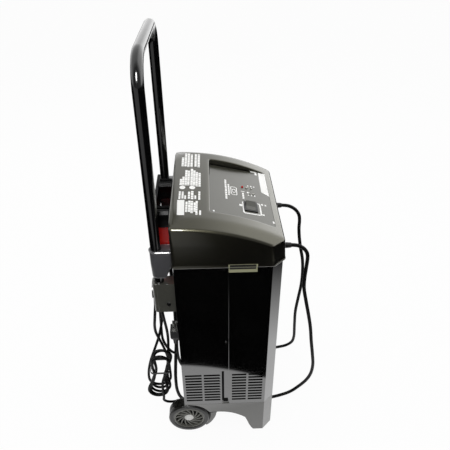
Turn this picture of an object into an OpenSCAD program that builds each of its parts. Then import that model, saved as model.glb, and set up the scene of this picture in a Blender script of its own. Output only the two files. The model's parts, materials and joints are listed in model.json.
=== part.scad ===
// Wheeled battery charger for cars and light trucks.
// A steel cabinet stands on a moulded base with two front feet and two rear wheels.
// Its console slopes towards the user at the front, and a U-shaped handle rises behind it.
// +X is the user's right, +Y points to the handle at the back, +Z is up and z = 0 is the ground.

/* [Cabinet] */
// Width across the steel side panels
body_w = 324; // [280:2:380]
// Depth of the flat part of the side panels
panel_d = 200; // [170:2:240]
// Size of the 45 degree corners at the front
corner = 23; // [12:1:32]
// Height of the lower edge of the steel panels
panel_z0 = 114; // [110:1:130]
// Height of the console's lower edge
console_z0 = 557; // [480:1:640]
// Thickness of the steel sheet
sheet_t = 1.2; // [0.8:0.1:2]
// Distance of the seam between the shells behind the middle of the side
seam_y = -11; // [-13:1:-9]
// Height at which the seam widens into the lower flange
flange_z = 238; // [234:1:300]

/* [Vents] */
// Number of slots in a column
vent_rows = 10; // [4:1:12]
// Distance from one slot to the next
vent_pitch = 10.4; // [8:0.1:11]
// Height of a slot
vent_h = 6; // [4:0.5:7]
// Height of the lowest slot's centre
vent_z0 = 130; // [129:1:150]

/* [Console] */
// How far the console stands out past the side panels
console_out = 3; // [2.5:0.5:6]
// Height of the console's side edge above its lower edge, at the back
console_rise = 93; // [80:1:120]
// Height of the flat top above the side edge, at the back
crown = 13; // [6:1:20]
// Width of the sloping band along each side of the top
band_w = 23; // [12:1:40]
// Wall of the console moulding
console_wall = 2.7; // [2:0.1:4]
// Width of the recessed control panel
recess_w = 224; // [180:2:250]
// Thickness of the control panel overlay
overlay_t = 0.8; // [0.5:0.1:1.5]

/* [Handle] */
// Outside diameter of the handle tube
handle_tube_d = 21.3; // [18:0.1:26]
// Wall of the handle tube
handle_tube_wall = 1.5; // [1:0.1:2.5]
// Distance between the centres of the two legs
handle_span = 283; // [240:1:300]
// Height of the crossbar's centre
handle_top_z = 960; // [800:5:1100]
// Radius of the bends at the centre of the tube
handle_bend_r = 50; // [35:1:80]
// Height of the upper cup's rim above the console's lower edge
cup_up = 35; // [25:1:50]
// Wall of the cups round the tube
cup_wall = 2.4; // [1.8:0.1:4]

/* [Wheels] */
// Diameter of a wheel over its tyre
wheel_d = 103.4; // [90:0.2:120]
// Width of a wheel
wheel_w = 31; // [22:1:34]
// Diameter of the axle
axle_d = 10; // [8:0.5:14]
// Number of tread grooves
tread_grooves = 72; // [24:2:96]

/* [Leads and cord] */
// Diameter of an output lead
lead_d = 8.4; // [7:0.1:9]
// Diameter of the mains cord
cord_d = 6.5; // [5.5:0.1:7]
// Number of loops in the hank of mains cord
hank_loops = 4; // [1:1:4]
// Distance from one loop of the hank to the next
hank_step = 8; // [8:0.5:9]

/* [Clamps] */
// Thickness of a battery clamp
clamp_t = 26; // [22:0.5:28]
// Thickness of the tabs that the clamps grip
tab_t = 6; // [4:0.5:8]
// Distance of the red clamp from the middle
red_clamp_x = -100; // [-104:1:-90]
// Distance of the black clamp from the middle
black_clamp_x = 10; // [-10:1:40]

/* [Hidden] */
$fn = 48;

// Clearances
gap = 0.3;      // between pieces that lie against each other
run_gap = 0.05; // radial, a shaft in its bearing
fit_gap = 0.1;  // radial, a tube or screw in its hole
eps = 0.01;

// Cabinet, measured from the middle of the side panels
side_x = body_w / 2;
rear_y = panel_d / 2;
side_front_y = -panel_d / 2;
front_y = side_front_y - corner;
bend_inset = tan(22.5);

// Console
con_x = side_x + console_out;
con_rear_y = rear_y + gap + console_wall;
con_front_y = front_y - 1.5;
con_lip_y = front_y - 4.5;
con_depth = con_rear_y - con_front_y;
con_side_z = console_z0 + console_rise;
con_top_z = con_side_z + crown;
plate_x = con_x - band_w;
console_steps = 14;

// Handle
tube_r = handle_tube_d / 2;
leg_x = handle_span / 2;
cup_r = tube_r + fit_gap + cup_wall;
handle_y = rear_y + 32.7;
cup_rim_z = console_z0 + cup_up;
cup_foot_z = console_z0 - 33;
bracket_z0 = cup_foot_z - 93;
bracket_z1 = cup_foot_z - 15;
tube_foot_z = bracket_z0 + 4;

// Wheels
wheel_r = wheel_d / 2;
axle_r = axle_d / 2;
axle_y = rear_y - 8.6;
wheel_out_x = side_x - 1;
wheel_in_x = wheel_out_x - wheel_w;
arch_r = wheel_r + 8;
cheek_r = arch_r + 16;
cheek_out_x = wheel_in_x - 2;
cheek_t = 5;

// Reach of the strain reliefs at the front and of the cord hook at the back
relief_len = 26;
lead_exit_y = front_y - relief_len;
hook_y1 = rear_y + 54;

// The origin is below the middle of the object without its leads and cord
y_max = max(handle_y + cup_r + 1, axle_y + wheel_r, hook_y1);
y_mid = (y_max + lead_exit_y) / 2;
module placed() { translate([0, -y_mid, 0]) children(); }

// A polygon of [y, z] points carried along X from x0 to x1
module along_x(x0, x1) {
    translate([x0, 0, 0]) rotate([90, 0, 90]) linear_extrude(x1 - x0) children();
}

// A cylinder along X or along Y
module rod_x(r, x0, x1, y, z) { translate([x0, y, z]) rotate([0, 90, 0]) cylinder(r = r, h = x1 - x0); }
module rod_y(r, y0, y1, x, z) { translate([x, y0, z]) rotate([-90, 0, 0]) cylinder(r = r, h = y1 - y0); }

// A cylinder along X on one side: x0 and x1 count outwards from the middle
module sided_rod(side, r, x0, x1, y, z) {
    rod_x(r, side < 0 ? -x1 : x0, side < 0 ? -x0 : x1, y, z);
}

// A box from its lowest and highest corners
module block(a, b) { translate(a) cube(b - a); }

// Plan outline of the cabinet, drawn in by t
module plan(t = 0) {
    k = t * bend_inset;
    polygon([
        [-side_x + t, rear_y - t], [-side_x + t, side_front_y + k], [-side_x + corner + k, front_y + t],
        [side_x - corner - k, front_y + t], [side_x - t, side_front_y + k], [side_x - t, rear_y - t]
    ]);
}

// ---------------------------------------------------------------- base
skirt_t = 3;
base_top_z = panel_z0 - gap;
floor_z = panel_z0 - 26;
foot_w = 44;
foot_d = 46;
upstand_h = 12;
arch_low_z = 80;

// Side view of everything that the skirt keeps: its lower edge falls from the arch to the foot
skirt_fall = 27;
foot_rear_y = front_y + foot_d;
function skirt_y(t) = axle_y - cheek_r + t * (foot_rear_y + 24 - axle_y + cheek_r);
function skirt_z(t) = arch_low_z - skirt_fall * pow(t, 2.2);
module skirt_side() {
    polygon(concat(
        [[rear_y + 1, base_top_z + 1], [rear_y + 1, arch_low_z]],
        [for (i = [0 : 8]) [skirt_y(i / 8), skirt_z(i / 8)]],
        [[foot_rear_y + 19, arch_low_z / 2], [foot_rear_y + 13, 21], [foot_rear_y + 7, 8]],
        [[foot_rear_y + 2, 0]],
        [[front_y - 1, 0], [front_y - 1, base_top_z + 1]]
    ));
}

// Front view of the skirt: an arch between the two feet
module skirt_front() {
    difference() {
        translate([-side_x - 1, 0]) square([2 * side_x + 2, base_top_z + 1]);
        polygon([
            [-side_x + foot_w, -1], [-side_x + foot_w + 10, 36], [-side_x + foot_w + 34, 46],
            [side_x - foot_w - 34, 46], [side_x - foot_w - 10, 36], [side_x - foot_w, -1]
        ]);
    }
}

module foot(side) {
    intersection() {
        linear_extrude(floor_z) plan();
        if (side < 0) block([-side_x, front_y, 0], [-side_x + foot_w, front_y + foot_d, floor_z]);
        else block([side_x - foot_w, front_y, 0], [side_x, front_y + foot_d, floor_z]);
    }
}

module wheel_cheek(side) {
    intersection() {
        sided_rod(side, cheek_r, cheek_out_x - cheek_t, cheek_out_x, axle_y, wheel_r);
        block([-side_x, -side_x, 7], [side_x, rear_y - 0.5, floor_z + 1]);
    }
    // boss round the axle
    sided_rod(side, axle_r + 4.4, cheek_out_x - 12, cheek_out_x, axle_y - 1, wheel_r);
}

module wheel_arch(side) {
    x0 = side > 0 ? cheek_out_x - cheek_t : -side_x + sheet_t + 0.4;
    x1 = side > 0 ? side_x - sheet_t - 0.4 : cheek_t - cheek_out_x;
    intersection() {
        rod_x(arch_r + skirt_t, x0, x1, axle_y, wheel_r);
        block([-side_x, axle_y - arch_r - 4, arch_low_z],
              [side_x, rear_y - sheet_t - 0.4, panel_z0 + 20]);
    }
}

module base_moulding() {
    color("#34342f") placed() difference() {
        union() {
            // outer skirt
            intersection() {
                linear_extrude(base_top_z) difference() { plan(); plan(skirt_t); }
                along_x(-side_x - 1, side_x + 1) skirt_side();
                translate([0, side_x * 2, 0]) rotate([90, 0, 0]) linear_extrude(side_x * 4) skirt_front();
            }
            // rear wall below the skirt, between the wheels
            block([cheek_t - cheek_out_x - 1, rear_y - skirt_t, 34],
                  [cheek_out_x - cheek_t + 1, rear_y, arch_low_z + 1]);
            // floor and the upstand that the steel panels stand round
            translate([0, 0, floor_z]) linear_extrude(skirt_t) plan(skirt_t - 0.5);
            translate([0, 0, floor_z]) linear_extrude(panel_z0 + upstand_h - floor_z)
                difference() { plan(sheet_t + 0.4); plan(sheet_t + 0.4 + skirt_t); }
            for (side = [-1, 1]) {
                foot(side);
                wheel_cheek(side);
                wheel_arch(side);
            }
        }
        // mains cord entry
        rod_y(mains_flange_r, rear_y - 5, rear_y + 5, mains_exit_x, mains_exit_z);
        // room for the wheels, and the axle's bore
        rod_x(arch_r, -side_x - 1, -cheek_out_x, axle_y, wheel_r);
        rod_x(arch_r, cheek_out_x, side_x + 1, axle_y, wheel_r);
        rod_x(axle_r + fit_gap, -side_x, side_x, axle_y, wheel_r);
        // hollow feet, open to the inside of the cabinet
        for (side = [-1, 1]) {
            x0 = side < 0 ? -side_x + 4 : side_x - foot_w + 4;
            translate([0, 0, 4]) linear_extrude(floor_z) intersection() {
                plan(4);
                translate([x0, front_y + 4]) square([foot_w - 8, foot_d - 8]);
            }
        }
    }
}

// ---------------------------------------------------------------- wheels
rim_r = wheel_r - 12.5;
hub_r = 13;
spokes = 14;
hub_plate_x = 9; // from the wheel's outer face to the back of the spokes

// A wheel's axis is +Z here, with its outer face at z = 0 and its inner face at z = -wheel_w
module on_axle(side) {
    placed() translate([side * wheel_out_x, axle_y, wheel_r]) rotate([0, side * 90, 0]) children();
}

module tyre() {
    color("#26261f") difference() {
        rotate_extrude($fn = 96) polygon([
            [rim_r, -1.5], [rim_r + 3, 0], [wheel_r - 3, -0.5], [wheel_r, -4],
            [wheel_r, 3 - wheel_w], [wheel_r - 2.5, -wheel_w], [rim_r, -wheel_w]
        ]);
        for (i = [0 : tread_grooves - 1]) rotate(i * 360 / tread_grooves)
            translate([wheel_r - 1.4, -0.9, -wheel_w - 1]) cube([4, 1.8, wheel_w + 2]);
        rotate_extrude($fn = 96) translate([wheel_r - 1.4, -wheel_w / 2 - 1]) square([4, 2]);
    }
}

// One spoke: an arc that leaves the hub at a slant and bends forward to the rim
spoke_t = 3;
spoke_root = hub_r - 4;
spoke_bow = 0.57;
module spoke_2d() {
    bow_r = spoke_bow * (rim_r * rim_r - spoke_root * spoke_root) / (2 * spoke_root);
    intersection() {
        difference() { circle(r = rim_r - 2, $fn = 96); circle(r = hub_r - 1, $fn = 96); }
        translate([0, bow_r - spoke_root]) difference() {
            circle(r = bow_r, $fn = 96);
            circle(r = bow_r - spoke_t, $fn = 96);
        }
        translate([2, -rim_r]) square([rim_r, 2 * rim_r]);
    }
}

module hub() {
    color("#3a3a36") difference() {
        union() {
            rotate_extrude($fn = 96) polygon([
                [rim_r - 4, -1], [rim_r, -2], [rim_r, -wheel_w + 1], [rim_r - 3, -wheel_w + 1],
                [rim_r - 3, -hub_plate_x - 3], [hub_r - 1, -hub_plate_x - 3], [hub_r - 1, -hub_plate_x],
                [rim_r - 4, -hub_plate_x]
            ]);
            translate([0, 0, 2 - wheel_w]) cylinder(r = hub_r, h = wheel_w - 7);
            for (i = [0 : spokes - 1]) rotate(i * 360 / spokes)
                translate([0, 0, -hub_plate_x - 1]) linear_extrude(6) spoke_2d();
        }
        translate([0, 0, -wheel_w]) cylinder(r = axle_r + run_gap, h = wheel_w + 2);
    }
}

// Domed cap that snaps over the end of the axle
module hub_cap() {
    color("#4a4a46") translate([0, 0, -5]) rotate_extrude($fn = 64) difference() {
        polygon([[0, 4.5], [5, 4.2], [9, 3], [hub_r - 1.5, 1], [hub_r - 1.5, 0], [0, 0]]);
        translate([0, -1]) square([axle_r + 0.4, 2.6]);
    }
}

module left_wheel_tyre() { on_axle(-1) tyre(); }
module left_wheel_hub() { on_axle(-1) hub(); }
module left_wheel_cap() { on_axle(-1) hub_cap(); }
module right_wheel_tyre() { on_axle(1) tyre(); }
module right_wheel_hub() { on_axle(1) hub(); }
module right_wheel_cap() { on_axle(1) hub_cap(); }

// Axle with a collar against each cheek
module wheel_axle() {
    color("#9a9a9a") placed() {
        end_x = wheel_out_x - 4;
        rod_x(axle_r, -end_x, end_x, axle_y, wheel_r);
        for (side = [-1, 1]) {
            x = side * (wheel_in_x - 0.85);
            rod_x(axle_r + 3, x - 0.6, x + 0.6, axle_y, wheel_r);
        }
    }
}

// ---------------------------------------------------------------- steel shells
shell_z1 = console_z0 + 10;
tongue = 22;
flange_gap = 17;
side_screws = [[seam_y + 10, console_z0 - 6], [seam_y + 6, 336]];
screw_r = 1.9;
lead_exit_x = 80;
lead_exit_z = 545;
mains_exit_x = -112;
mains_exit_z = 60;

module vent_columns(y0, y1, count) {
    w = (y1 - y0 - (count - 1) * 5) / count;
    for (c = [0 : count - 1], r = [0 : vent_rows - 1])
        block([-side_x - 1, y0 + c * (w + 5), vent_z0 + r * vent_pitch - vent_h / 2],
              [side_x + 1, y0 + c * (w + 5) + w, vent_z0 + r * vent_pitch + vent_h / 2]);
}

module side_screw_holes(r) {
    for (s = side_screws) rod_x(r, -side_x - 1, side_x + 1, s[0], s[1]);
}

module rear_shell() {
    color("#0c0c0c") placed() difference() {
        translate([0, 0, panel_z0]) linear_extrude(shell_z1 - panel_z0) difference() {
            translate([-side_x, seam_y]) square([2 * side_x, rear_y - seam_y]);
            translate([-side_x + sheet_t, seam_y - 1])
                square([2 * (side_x - sheet_t), rear_y - seam_y + 1 - sheet_t]);
        }
        // below flange_z the panel stops short of the seam and leaves the flange bare
        block([-side_x - 1, seam_y - 1, panel_z0 - 1], [side_x + 1, seam_y + flange_gap, flange_z]);
        vent_columns(seam_y + flange_gap + 3.5, rear_y - 6.5, 2);
        side_screw_holes(screw_r + 0.2);
        // slots for the screws of the handle brackets and the console
        for (x = console_screw_x) rod_y(screw_r + 0.2, rear_y - 5, rear_y + 5, x, console_screw_z);
    }
}

module front_shell() {
    color("#0c0c0c") placed() difference() {
        union() {
            translate([0, 0, panel_z0]) linear_extrude(shell_z1 - panel_z0) difference() {
                plan();
                plan(sheet_t);
                translate([-side_x - 1, seam_y - 0.6]) square([2 * side_x + 2, panel_d]);
            }
            // tongues behind the rear shell's edges
            for (x = [-side_x + sheet_t, side_x - 2 * sheet_t])
                block([x, seam_y - 8, panel_z0 + upstand_h + 1],
                      [x + sheet_t, seam_y + tongue, shell_z1 - 1]);
        }
        vent_columns(side_front_y + 7.5, seam_y - 7.5, 2);
        side_screw_holes(screw_r + 0.05);
        for (x = [-lead_exit_x, lead_exit_x]) rod_y(8.2, front_y - 5, front_y + 5, x, lead_exit_z);
        // latch slot in the flange
        block([-side_x - 1, seam_y + 2, panel_z0 + 5], [side_x + 1, seam_y + 14, panel_z0 + 21]);
    }
}

module shell_screws() {
    color("#777777") placed() for (s = side_screws, side = [-1, 1]) {
        sided_rod(side, 3.6, side_x, side_x + 1.8, s[0], s[1]);
        sided_rod(side, screw_r, side_x - 7, side_x + 0.5, s[0], s[1]);
    }
}

// ---------------------------------------------------------------- console
// Share of the depth from the back edge, 0 to 1
function along(y) = max(0, con_rear_y - y) / con_depth;
// Heights of the flat top and of the side edge: level at the back, rolling down to the front
roll_drop = 56.5;
roll_power = 2.2;
function top_edge(y) = con_top_z - roll_drop * pow(along(y), roll_power);
function side_edge(y) = top_edge(y) - crown;

module side_profile(edge_y, drop, w) {
    n = console_steps;
    polygon(concat(
        [for (i = [0 : n]) let (y = con_rear_y - w + (edge_y - con_rear_y + w) * i / n)
            [y, (drop ? side_edge(y) : top_edge(y)) - w * 1.1]],
        [[edge_y - (drop ? 3 : 0), console_z0], [con_rear_y - w, console_z0]]
    ));
}

// Outer form of the console, drawn in by w
module console_form(w) {
    k = w * bend_inset;
    hull() {
        along_x(-plate_x + w * 0.4, plate_x - w * 0.4) side_profile(con_front_y + w, false, w);
        along_x(-con_x + w, con_x - w) side_profile(side_front_y + 3 + k, true, w);
        translate([0, 0, console_z0]) linear_extrude(1) polygon([
            [-con_x + w, con_rear_y - w], [-con_x + w, side_front_y - 3 + k],
            [-con_x + corner + k, con_lip_y + w], [con_x - corner - k, con_lip_y + w],
            [con_x - w, side_front_y - 3 + k], [con_x - w, con_rear_y - w]
        ]);
    }
}

// Control panel: a flat bed sunk into the rolling top, deepest at its back edge
bed_back_y = rear_y - 74;
bed_front_y = side_front_y - 8;
bed_back_z = top_edge(bed_back_y) - 13;
bed_front_z = top_edge(bed_front_y) - 1.2;
bed_len = norm([bed_back_y - bed_front_y, bed_back_z - bed_front_z]);
bed_tilt = atan2(bed_back_z - bed_front_z, bed_back_y - bed_front_y);
bed_x = recess_w / 2;

// Places children on the bed: x as in the object, y = 0 at the back edge and falling to the front
module on_bed() { translate([0, bed_back_y, bed_back_z]) rotate([bed_tilt, 0, 0]) children(); }

module bed_prism(out, down, up) {
    on_bed() block([-bed_x - out, -bed_len - out, -down], [bed_x + out, out, up]);
}

switch_c = [-50, -90];     // centre of the rocker switch on the bed
switch_size = [36, 30];
bezel_hole = [33, 27];
red_lens_at = [28, -77];
clear_lens_at = [[28, -87], [28, -97], [4, -92], [4, -101]];
lens_r = 2.5;
board_drop = 12;
board_size = [150, 92];
board_c = [0, -84];
board_posts = [[-68, -44], [68, -44], [-68, -124], [68, -124]];
console_screw_x = [-60, 60];
console_screw_z = console_z0 + 6;
tab_z = console_z0 + 79;
tab_h = 20;
tab_y1 = rear_y + 26;

// Cup that takes a leg of the handle: straight above the console's edge, drawn in below it
module cup(side) {
    x = side * leg_x;
    translate([0, 0, console_z0]) linear_extrude(cup_up) {
        translate([x, handle_y]) circle(r = cup_r);
        translate([x - cup_r, con_rear_y - 1]) square([2 * cup_r, handle_y - con_rear_y + 1]);
    }
    translate([x, handle_y, cup_rim_z - 3]) cylinder(r = cup_r + 1, h = 3);
    hull() {
        translate([0, 0, console_z0 - 1]) linear_extrude(1) {
            translate([x, handle_y]) circle(r = cup_r, $fn = 32);
            translate([x - cup_r, con_rear_y + 0.3]) square([2 * cup_r, handle_y - con_rear_y]);
        }
        translate([0, 0, cup_foot_z]) linear_extrude(1) {
            translate([x, handle_y]) circle(r = tube_r + 1.2, $fn = 32);
            translate([x - tube_r - 1.2, handle_y - 17]) square([2 * tube_r + 2.4, 17]);
        }
    }
}

module console_cover() {
    color("#4b4b44") placed() difference() {
        union() {
            difference() {
                console_form(0);
                translate([0, 0, -eps]) console_form(console_wall);
                block([-con_x, con_lip_y - 1, console_z0 - 1], [con_x, con_lip_y + 2.7, console_z0 + 2]);
            }
            // tub under the control panel, with posts for the circuit board
            intersection() {
                console_form(eps);
                difference() {
                    bed_prism(console_wall, console_wall, 60);
                    bed_prism(0, 0, 61);
                }
            }
            on_bed() for (p = board_posts) translate([p[0], p[1], -board_drop])
                cylinder(r = 3, h = board_drop - 1);
            for (side = [-1, 1]) cup(side);
            // tabs that the battery clamps grip
            for (x = [red_clamp_x, black_clamp_x])
                block([x - tab_t / 2, con_rear_y - 1, tab_z], [x + tab_t / 2, tab_y1, tab_z + tab_h]);
        }
        bed_prism(0, 0, 60);
        for (side = [-1, 1]) translate([side * leg_x, handle_y, cup_foot_z - 1])
            cylinder(r = tube_r + fit_gap, h = cup_up + 60);
        on_bed() {
            translate([switch_c[0] - bezel_hole[0] / 2, switch_c[1] - bezel_hole[1] / 2, -20])
                cube([bezel_hole[0], bezel_hole[1], 40]);
            for (p = concat([red_lens_at], clear_lens_at))
                translate([p[0], p[1], -20]) cylinder(r = lens_r + fit_gap, h = 40);
        }
        for (x = console_screw_x) rod_y(screw_r + 0.2, rear_y - 5, rear_y + 8, x, console_screw_z);
    }
}

module control_panel() {
    color("#55554d") placed() on_bed() difference() {
        block([-bed_x + 0.4, -bed_len + 0.4, 0], [bed_x - 0.4, -0.4, overlay_t]);
        translate([switch_c[0] - bezel_hole[0] / 2, switch_c[1] - bezel_hole[1] / 2, -1])
            cube([bezel_hole[0], bezel_hole[1], 4]);
        for (p = concat([red_lens_at], clear_lens_at))
            translate([p[0], p[1], -1]) cylinder(r = lens_r + fit_gap, h = 4);
    }
}

module lens() {
    translate([0, 0, 1 - board_drop]) cylinder(r = lens_r, h = board_drop + overlay_t);
    translate([0, 0, 1 + overlay_t]) rotate_extrude() intersection() {
        circle(r = lens_r);
        square(lens_r);
    }
}
module red_indicator_lens() { color("#d01818") placed() on_bed() translate(red_lens_at) lens(); }
module clear_indicator_lenses() {
    color("#d8d8d0") placed() on_bed() for (p = clear_lens_at) translate(p) lens();
}

module circuit_board() {
    color("#1f5a32") placed() on_bed() translate([0, 0, -board_drop - 1.6]) difference() {
        block([board_c[0] - board_size[0] / 2, board_c[1] - board_size[1] / 2, 0],
              [board_c[0] + board_size[0] / 2, board_c[1] + board_size[1] / 2, 1.6]);
        translate([switch_c[0] - 21, switch_c[1] - 17, -1]) cube([42, 34, 4]);
    }
}

// Rocker switch: the rocker turns on two short pins across the bezel
rocker_size = [27, 21];
rocker_angle = 12;
rocker_z = -1;
pin_r = 1.5;
module on_switch() { placed() on_bed() translate([switch_c[0], switch_c[1], overlay_t]) children(); }

module switch_bezel() {
    w = switch_size;
    h = bezel_hole;
    color("#111111") on_switch() difference() {
        union() {
            block([-w[0] / 2, -w[1] / 2, 0], [w[0] / 2, w[1] / 2, 2]);
            block([-h[0] / 2 + 0.2, -h[1] / 2 + 0.2, -24], [h[0] / 2 - 0.2, h[1] / 2 - 0.2, 1]);
        }
        block([-rocker_size[0] / 2 - 1.2, -rocker_size[1] / 2 - gap, -13],
              [rocker_size[0] / 2 + 1.2, rocker_size[1] / 2 + gap, 3]);
        rod_y(pin_r + run_gap, -h[1] / 2 + 1, h[1] / 2 - 1, 0, rocker_z);
    }
}

module switch_rocker() {
    half = rocker_size[0] / 2;
    rise = tan(rocker_angle) * half;
    color("#2a2a2a") on_switch() translate([0, 0, rocker_z]) rotate([0, -rocker_angle, 0]) {
        translate([0, rocker_size[1] / 2, 0]) rotate([90, 0, 0]) linear_extrude(rocker_size[1])
            polygon([
                [-half, 3.4 + rise], [0, 3.4], [half, 3.4 + rise],
                [half - 0.8, -3], [5, -7], [-5, -7], [0.8 - half, -3]
            ]);
        rod_y(pin_r, -rocker_size[1] / 2 - 2, rocker_size[1] / 2 + 2, 0, 0);
    }
}

module console_screws() {
    color("#777777") placed() for (x = console_screw_x) {
        rod_y(3.8, con_rear_y, con_rear_y + 2, x, console_screw_z);
        rod_y(screw_r, rear_y - 4, con_rear_y + 0.5, x, console_screw_z);
    }
}

// ---------------------------------------------------------------- handle
module handle_core(r) {
    straight = leg_x - handle_bend_r;
    for (side = [0, 1]) mirror([side, 0, 0]) {
        translate([leg_x, handle_y, tube_foot_z])
            cylinder(r = r, h = handle_top_z - handle_bend_r - tube_foot_z);
        translate([straight, handle_y, handle_top_z - handle_bend_r]) rotate([90, 0, 0])
            rotate_extrude(angle = 90) translate([handle_bend_r, 0]) circle(r = r);
    }
    rod_x(r, -straight, straight, handle_y, handle_top_z);
}

module handle_tube() {
    color("#101010") placed() difference() {
        handle_core(tube_r);
        handle_core(tube_r - handle_tube_wall);
        for (side = [-1, 1]) translate([side * leg_x, handle_y, tube_foot_z - 1])
            cylinder(r = tube_r - handle_tube_wall, h = 3);
    }
}

module handle_end_plugs() {
    color("#1c1c1c") placed() for (side = [-1, 1]) translate([side * leg_x, handle_y, tube_foot_z]) {
        cylinder(r = tube_r - handle_tube_wall - fit_gap, h = 12);
        translate([0, 0, -2]) cylinder(r = tube_r - 0.4, h = 2);
    }
}

// Lower bracket: a sleeve round the leg with a flat side, standing against the rear shell
bracket_screw = [rear_y + 15, bracket_z0 + 23];
module bracket(side) {
    x = side * leg_x;
    w = cup_r + 0.6;
    difference() {
        translate([0, 0, bracket_z0]) linear_extrude(bracket_z1 - bracket_z0) {
            translate([x - w, rear_y]) square([2 * w, handle_y - rear_y + 4]);
            translate([x - w + 8, rear_y + 10]) square([2 * w - 16, handle_y + w - rear_y - 10]);
            for (s = [-1, 1]) translate([x + s * (w - 8), handle_y + w - 8]) circle(r = 8);
        }
        translate([x, handle_y, bracket_z0 - 1]) cylinder(r = tube_r + fit_gap, h = 100);
        // lightening pocket between the sleeve and the shell, open below
        block([x - w + 3, rear_y + 3, bracket_z0 - 1], [x + w - 3, handle_y - cup_r - 2, bracket_z0 + 12]);
        rod_x(screw_r + 0.05, x - w - 1, x + w + 1, bracket_screw[0], bracket_screw[1]);
    }
}

module left_handle_bracket() { color("#3b3b30") placed() bracket(-1); }
module right_handle_bracket() { color("#3b3b30") placed() bracket(1); }

// Hook for the mains cord: a half-round saddle on a plate, with a lip at its end
hook_r = 21;
hook_x = -98;
hook_z = bracket_z0 + 15;
module cord_hook() {
    color("#26261f") placed() difference() {
        union() {
            block([hook_x - hook_r, rear_y, hook_z - 20],
                  [hook_x + hook_r, rear_y + 3, hook_z + hook_r + 14]);
            rod_y(hook_r, rear_y + 2, hook_y1, hook_x, hook_z);
            rod_y(hook_r + 5, hook_y1 - 3, hook_y1, hook_x, hook_z);
        }
        rod_y(hook_r - 3, rear_y + 3, hook_y1 - 3, hook_x, hook_z);
        block([hook_x - 40, rear_y + 3, hook_z - 40], [hook_x + 40, hook_y1 + 1, hook_z - 2]);
    }
}

module handle_screws() {
    w = cup_r + 0.6;
    color("#8a8a86") placed() for (side = [-1, 1]) {
        sided_rod(side, 4, leg_x + w, leg_x + w + 2, bracket_screw[0], bracket_screw[1]);
        sided_rod(side, screw_r, leg_x + w - 20, leg_x + w + 1, bracket_screw[0], bracket_screw[1]);
    }
}

// ---------------------------------------------------------------- inside the cabinet
deck_z = floor_z + skirt_t;
deck_t = 2;
deck_x = 112;
core_size = [132, 70, 110];
core_c = [-36, -18];
window = [22, 66];
core_leg = 22; // half of the middle leg
core_z = deck_z + deck_t + 3;

module chassis_plate() {
    color("#8d8d88") placed() {
        block([-deck_x, front_y + foot_d + 4, deck_z], [deck_x, rear_y - 8, deck_z + deck_t]);
        for (y = [front_y + foot_d + 4, rear_y - 10])
            block([-deck_x, y, deck_z], [deck_x, y + 2, deck_z + 14]);
    }
}

// E and I laminations: a block with two windows, seen from the front
module core_2d() {
    difference() {
        square([core_size[0], core_size[2]], center = true);
        for (s = [-1, 1]) translate([s * (core_leg + window[0] / 2), 0]) square(window, center = true);
    }
}
module at_core() { placed() translate([core_c[0], core_c[1], core_z + core_size[2] / 2]) children(); }
module transformer_core() {
    color("#5c5c60") at_core() rotate([90, 0, 0]) linear_extrude(core_size[1], center = true) core_2d();
}

// A winding is a ring round the middle leg, passing through both windows
module winding(z0, z1) {
    inner = [2 * core_leg + 1, core_size[1] + 1];
    outer = [inner[0] + 2 * (window[0] - 1.5), inner[1] + 36];
    translate([0, 0, z0]) linear_extrude(z1 - z0) difference() {
        square(outer, center = true);
        square(inner, center = true);
    }
}
module primary_winding() { color("#b0642a") at_core() winding(-window[1] / 2 + 0.5, -2); }
module secondary_winding() { color("#c07a38") at_core() winding(1, window[1] / 2 - 0.5); }

module transformer_strap() {
    reach = core_size[0] / 2 + 10;
    foot_z = -core_size[2] / 2 - 3;
    color("#a0a09a") at_core() for (side = [0, 1]) mirror([0, side, 0]) {
        y = core_size[1] / 2;
        block([-reach, y, foot_z], [reach, y + 2, foot_z + 12]);
        block([-reach, y, foot_z], [reach, y + 14, foot_z + 2]);
    }
}

sink_x = 52;
sink_y0 = -50;
sink_len = 96;
sink_z1 = deck_z + deck_t + 92;
fins = 8;
module rectifier_heat_sink() {
    color("#b8b8bc") placed() {
        z0 = deck_z + deck_t;
        block([sink_x, sink_y0, z0], [sink_x + 6, sink_y0 + sink_len, sink_z1]);
        for (i = [0 : fins - 1]) let (y = sink_y0 + i * (sink_len - 2) / (fins - 1))
            block([sink_x + 5, y, z0], [sink_x + 26, y + 2, sink_z1]);
    }
}
module rectifier_diodes() {
    color("#2e2e2e") placed() for (y = [-30, 8]) translate([sink_x, y, sink_z1 - 30]) rotate([0, -90, 0]) {
        cylinder(r = 9, h = 5);
        cylinder(r = 4, h = 11);
    }
}
module thermal_breaker() {
    color("#22221e") placed() {
        block([sink_x - 9, 26, sink_z1 - 78], [sink_x, 42, sink_z1 - 48]);
        for (z = [sink_z1 - 72, sink_z1 - 56]) block([sink_x - 15, 31, z], [sink_x - 9, 37, z + 1]);
    }
}

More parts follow.
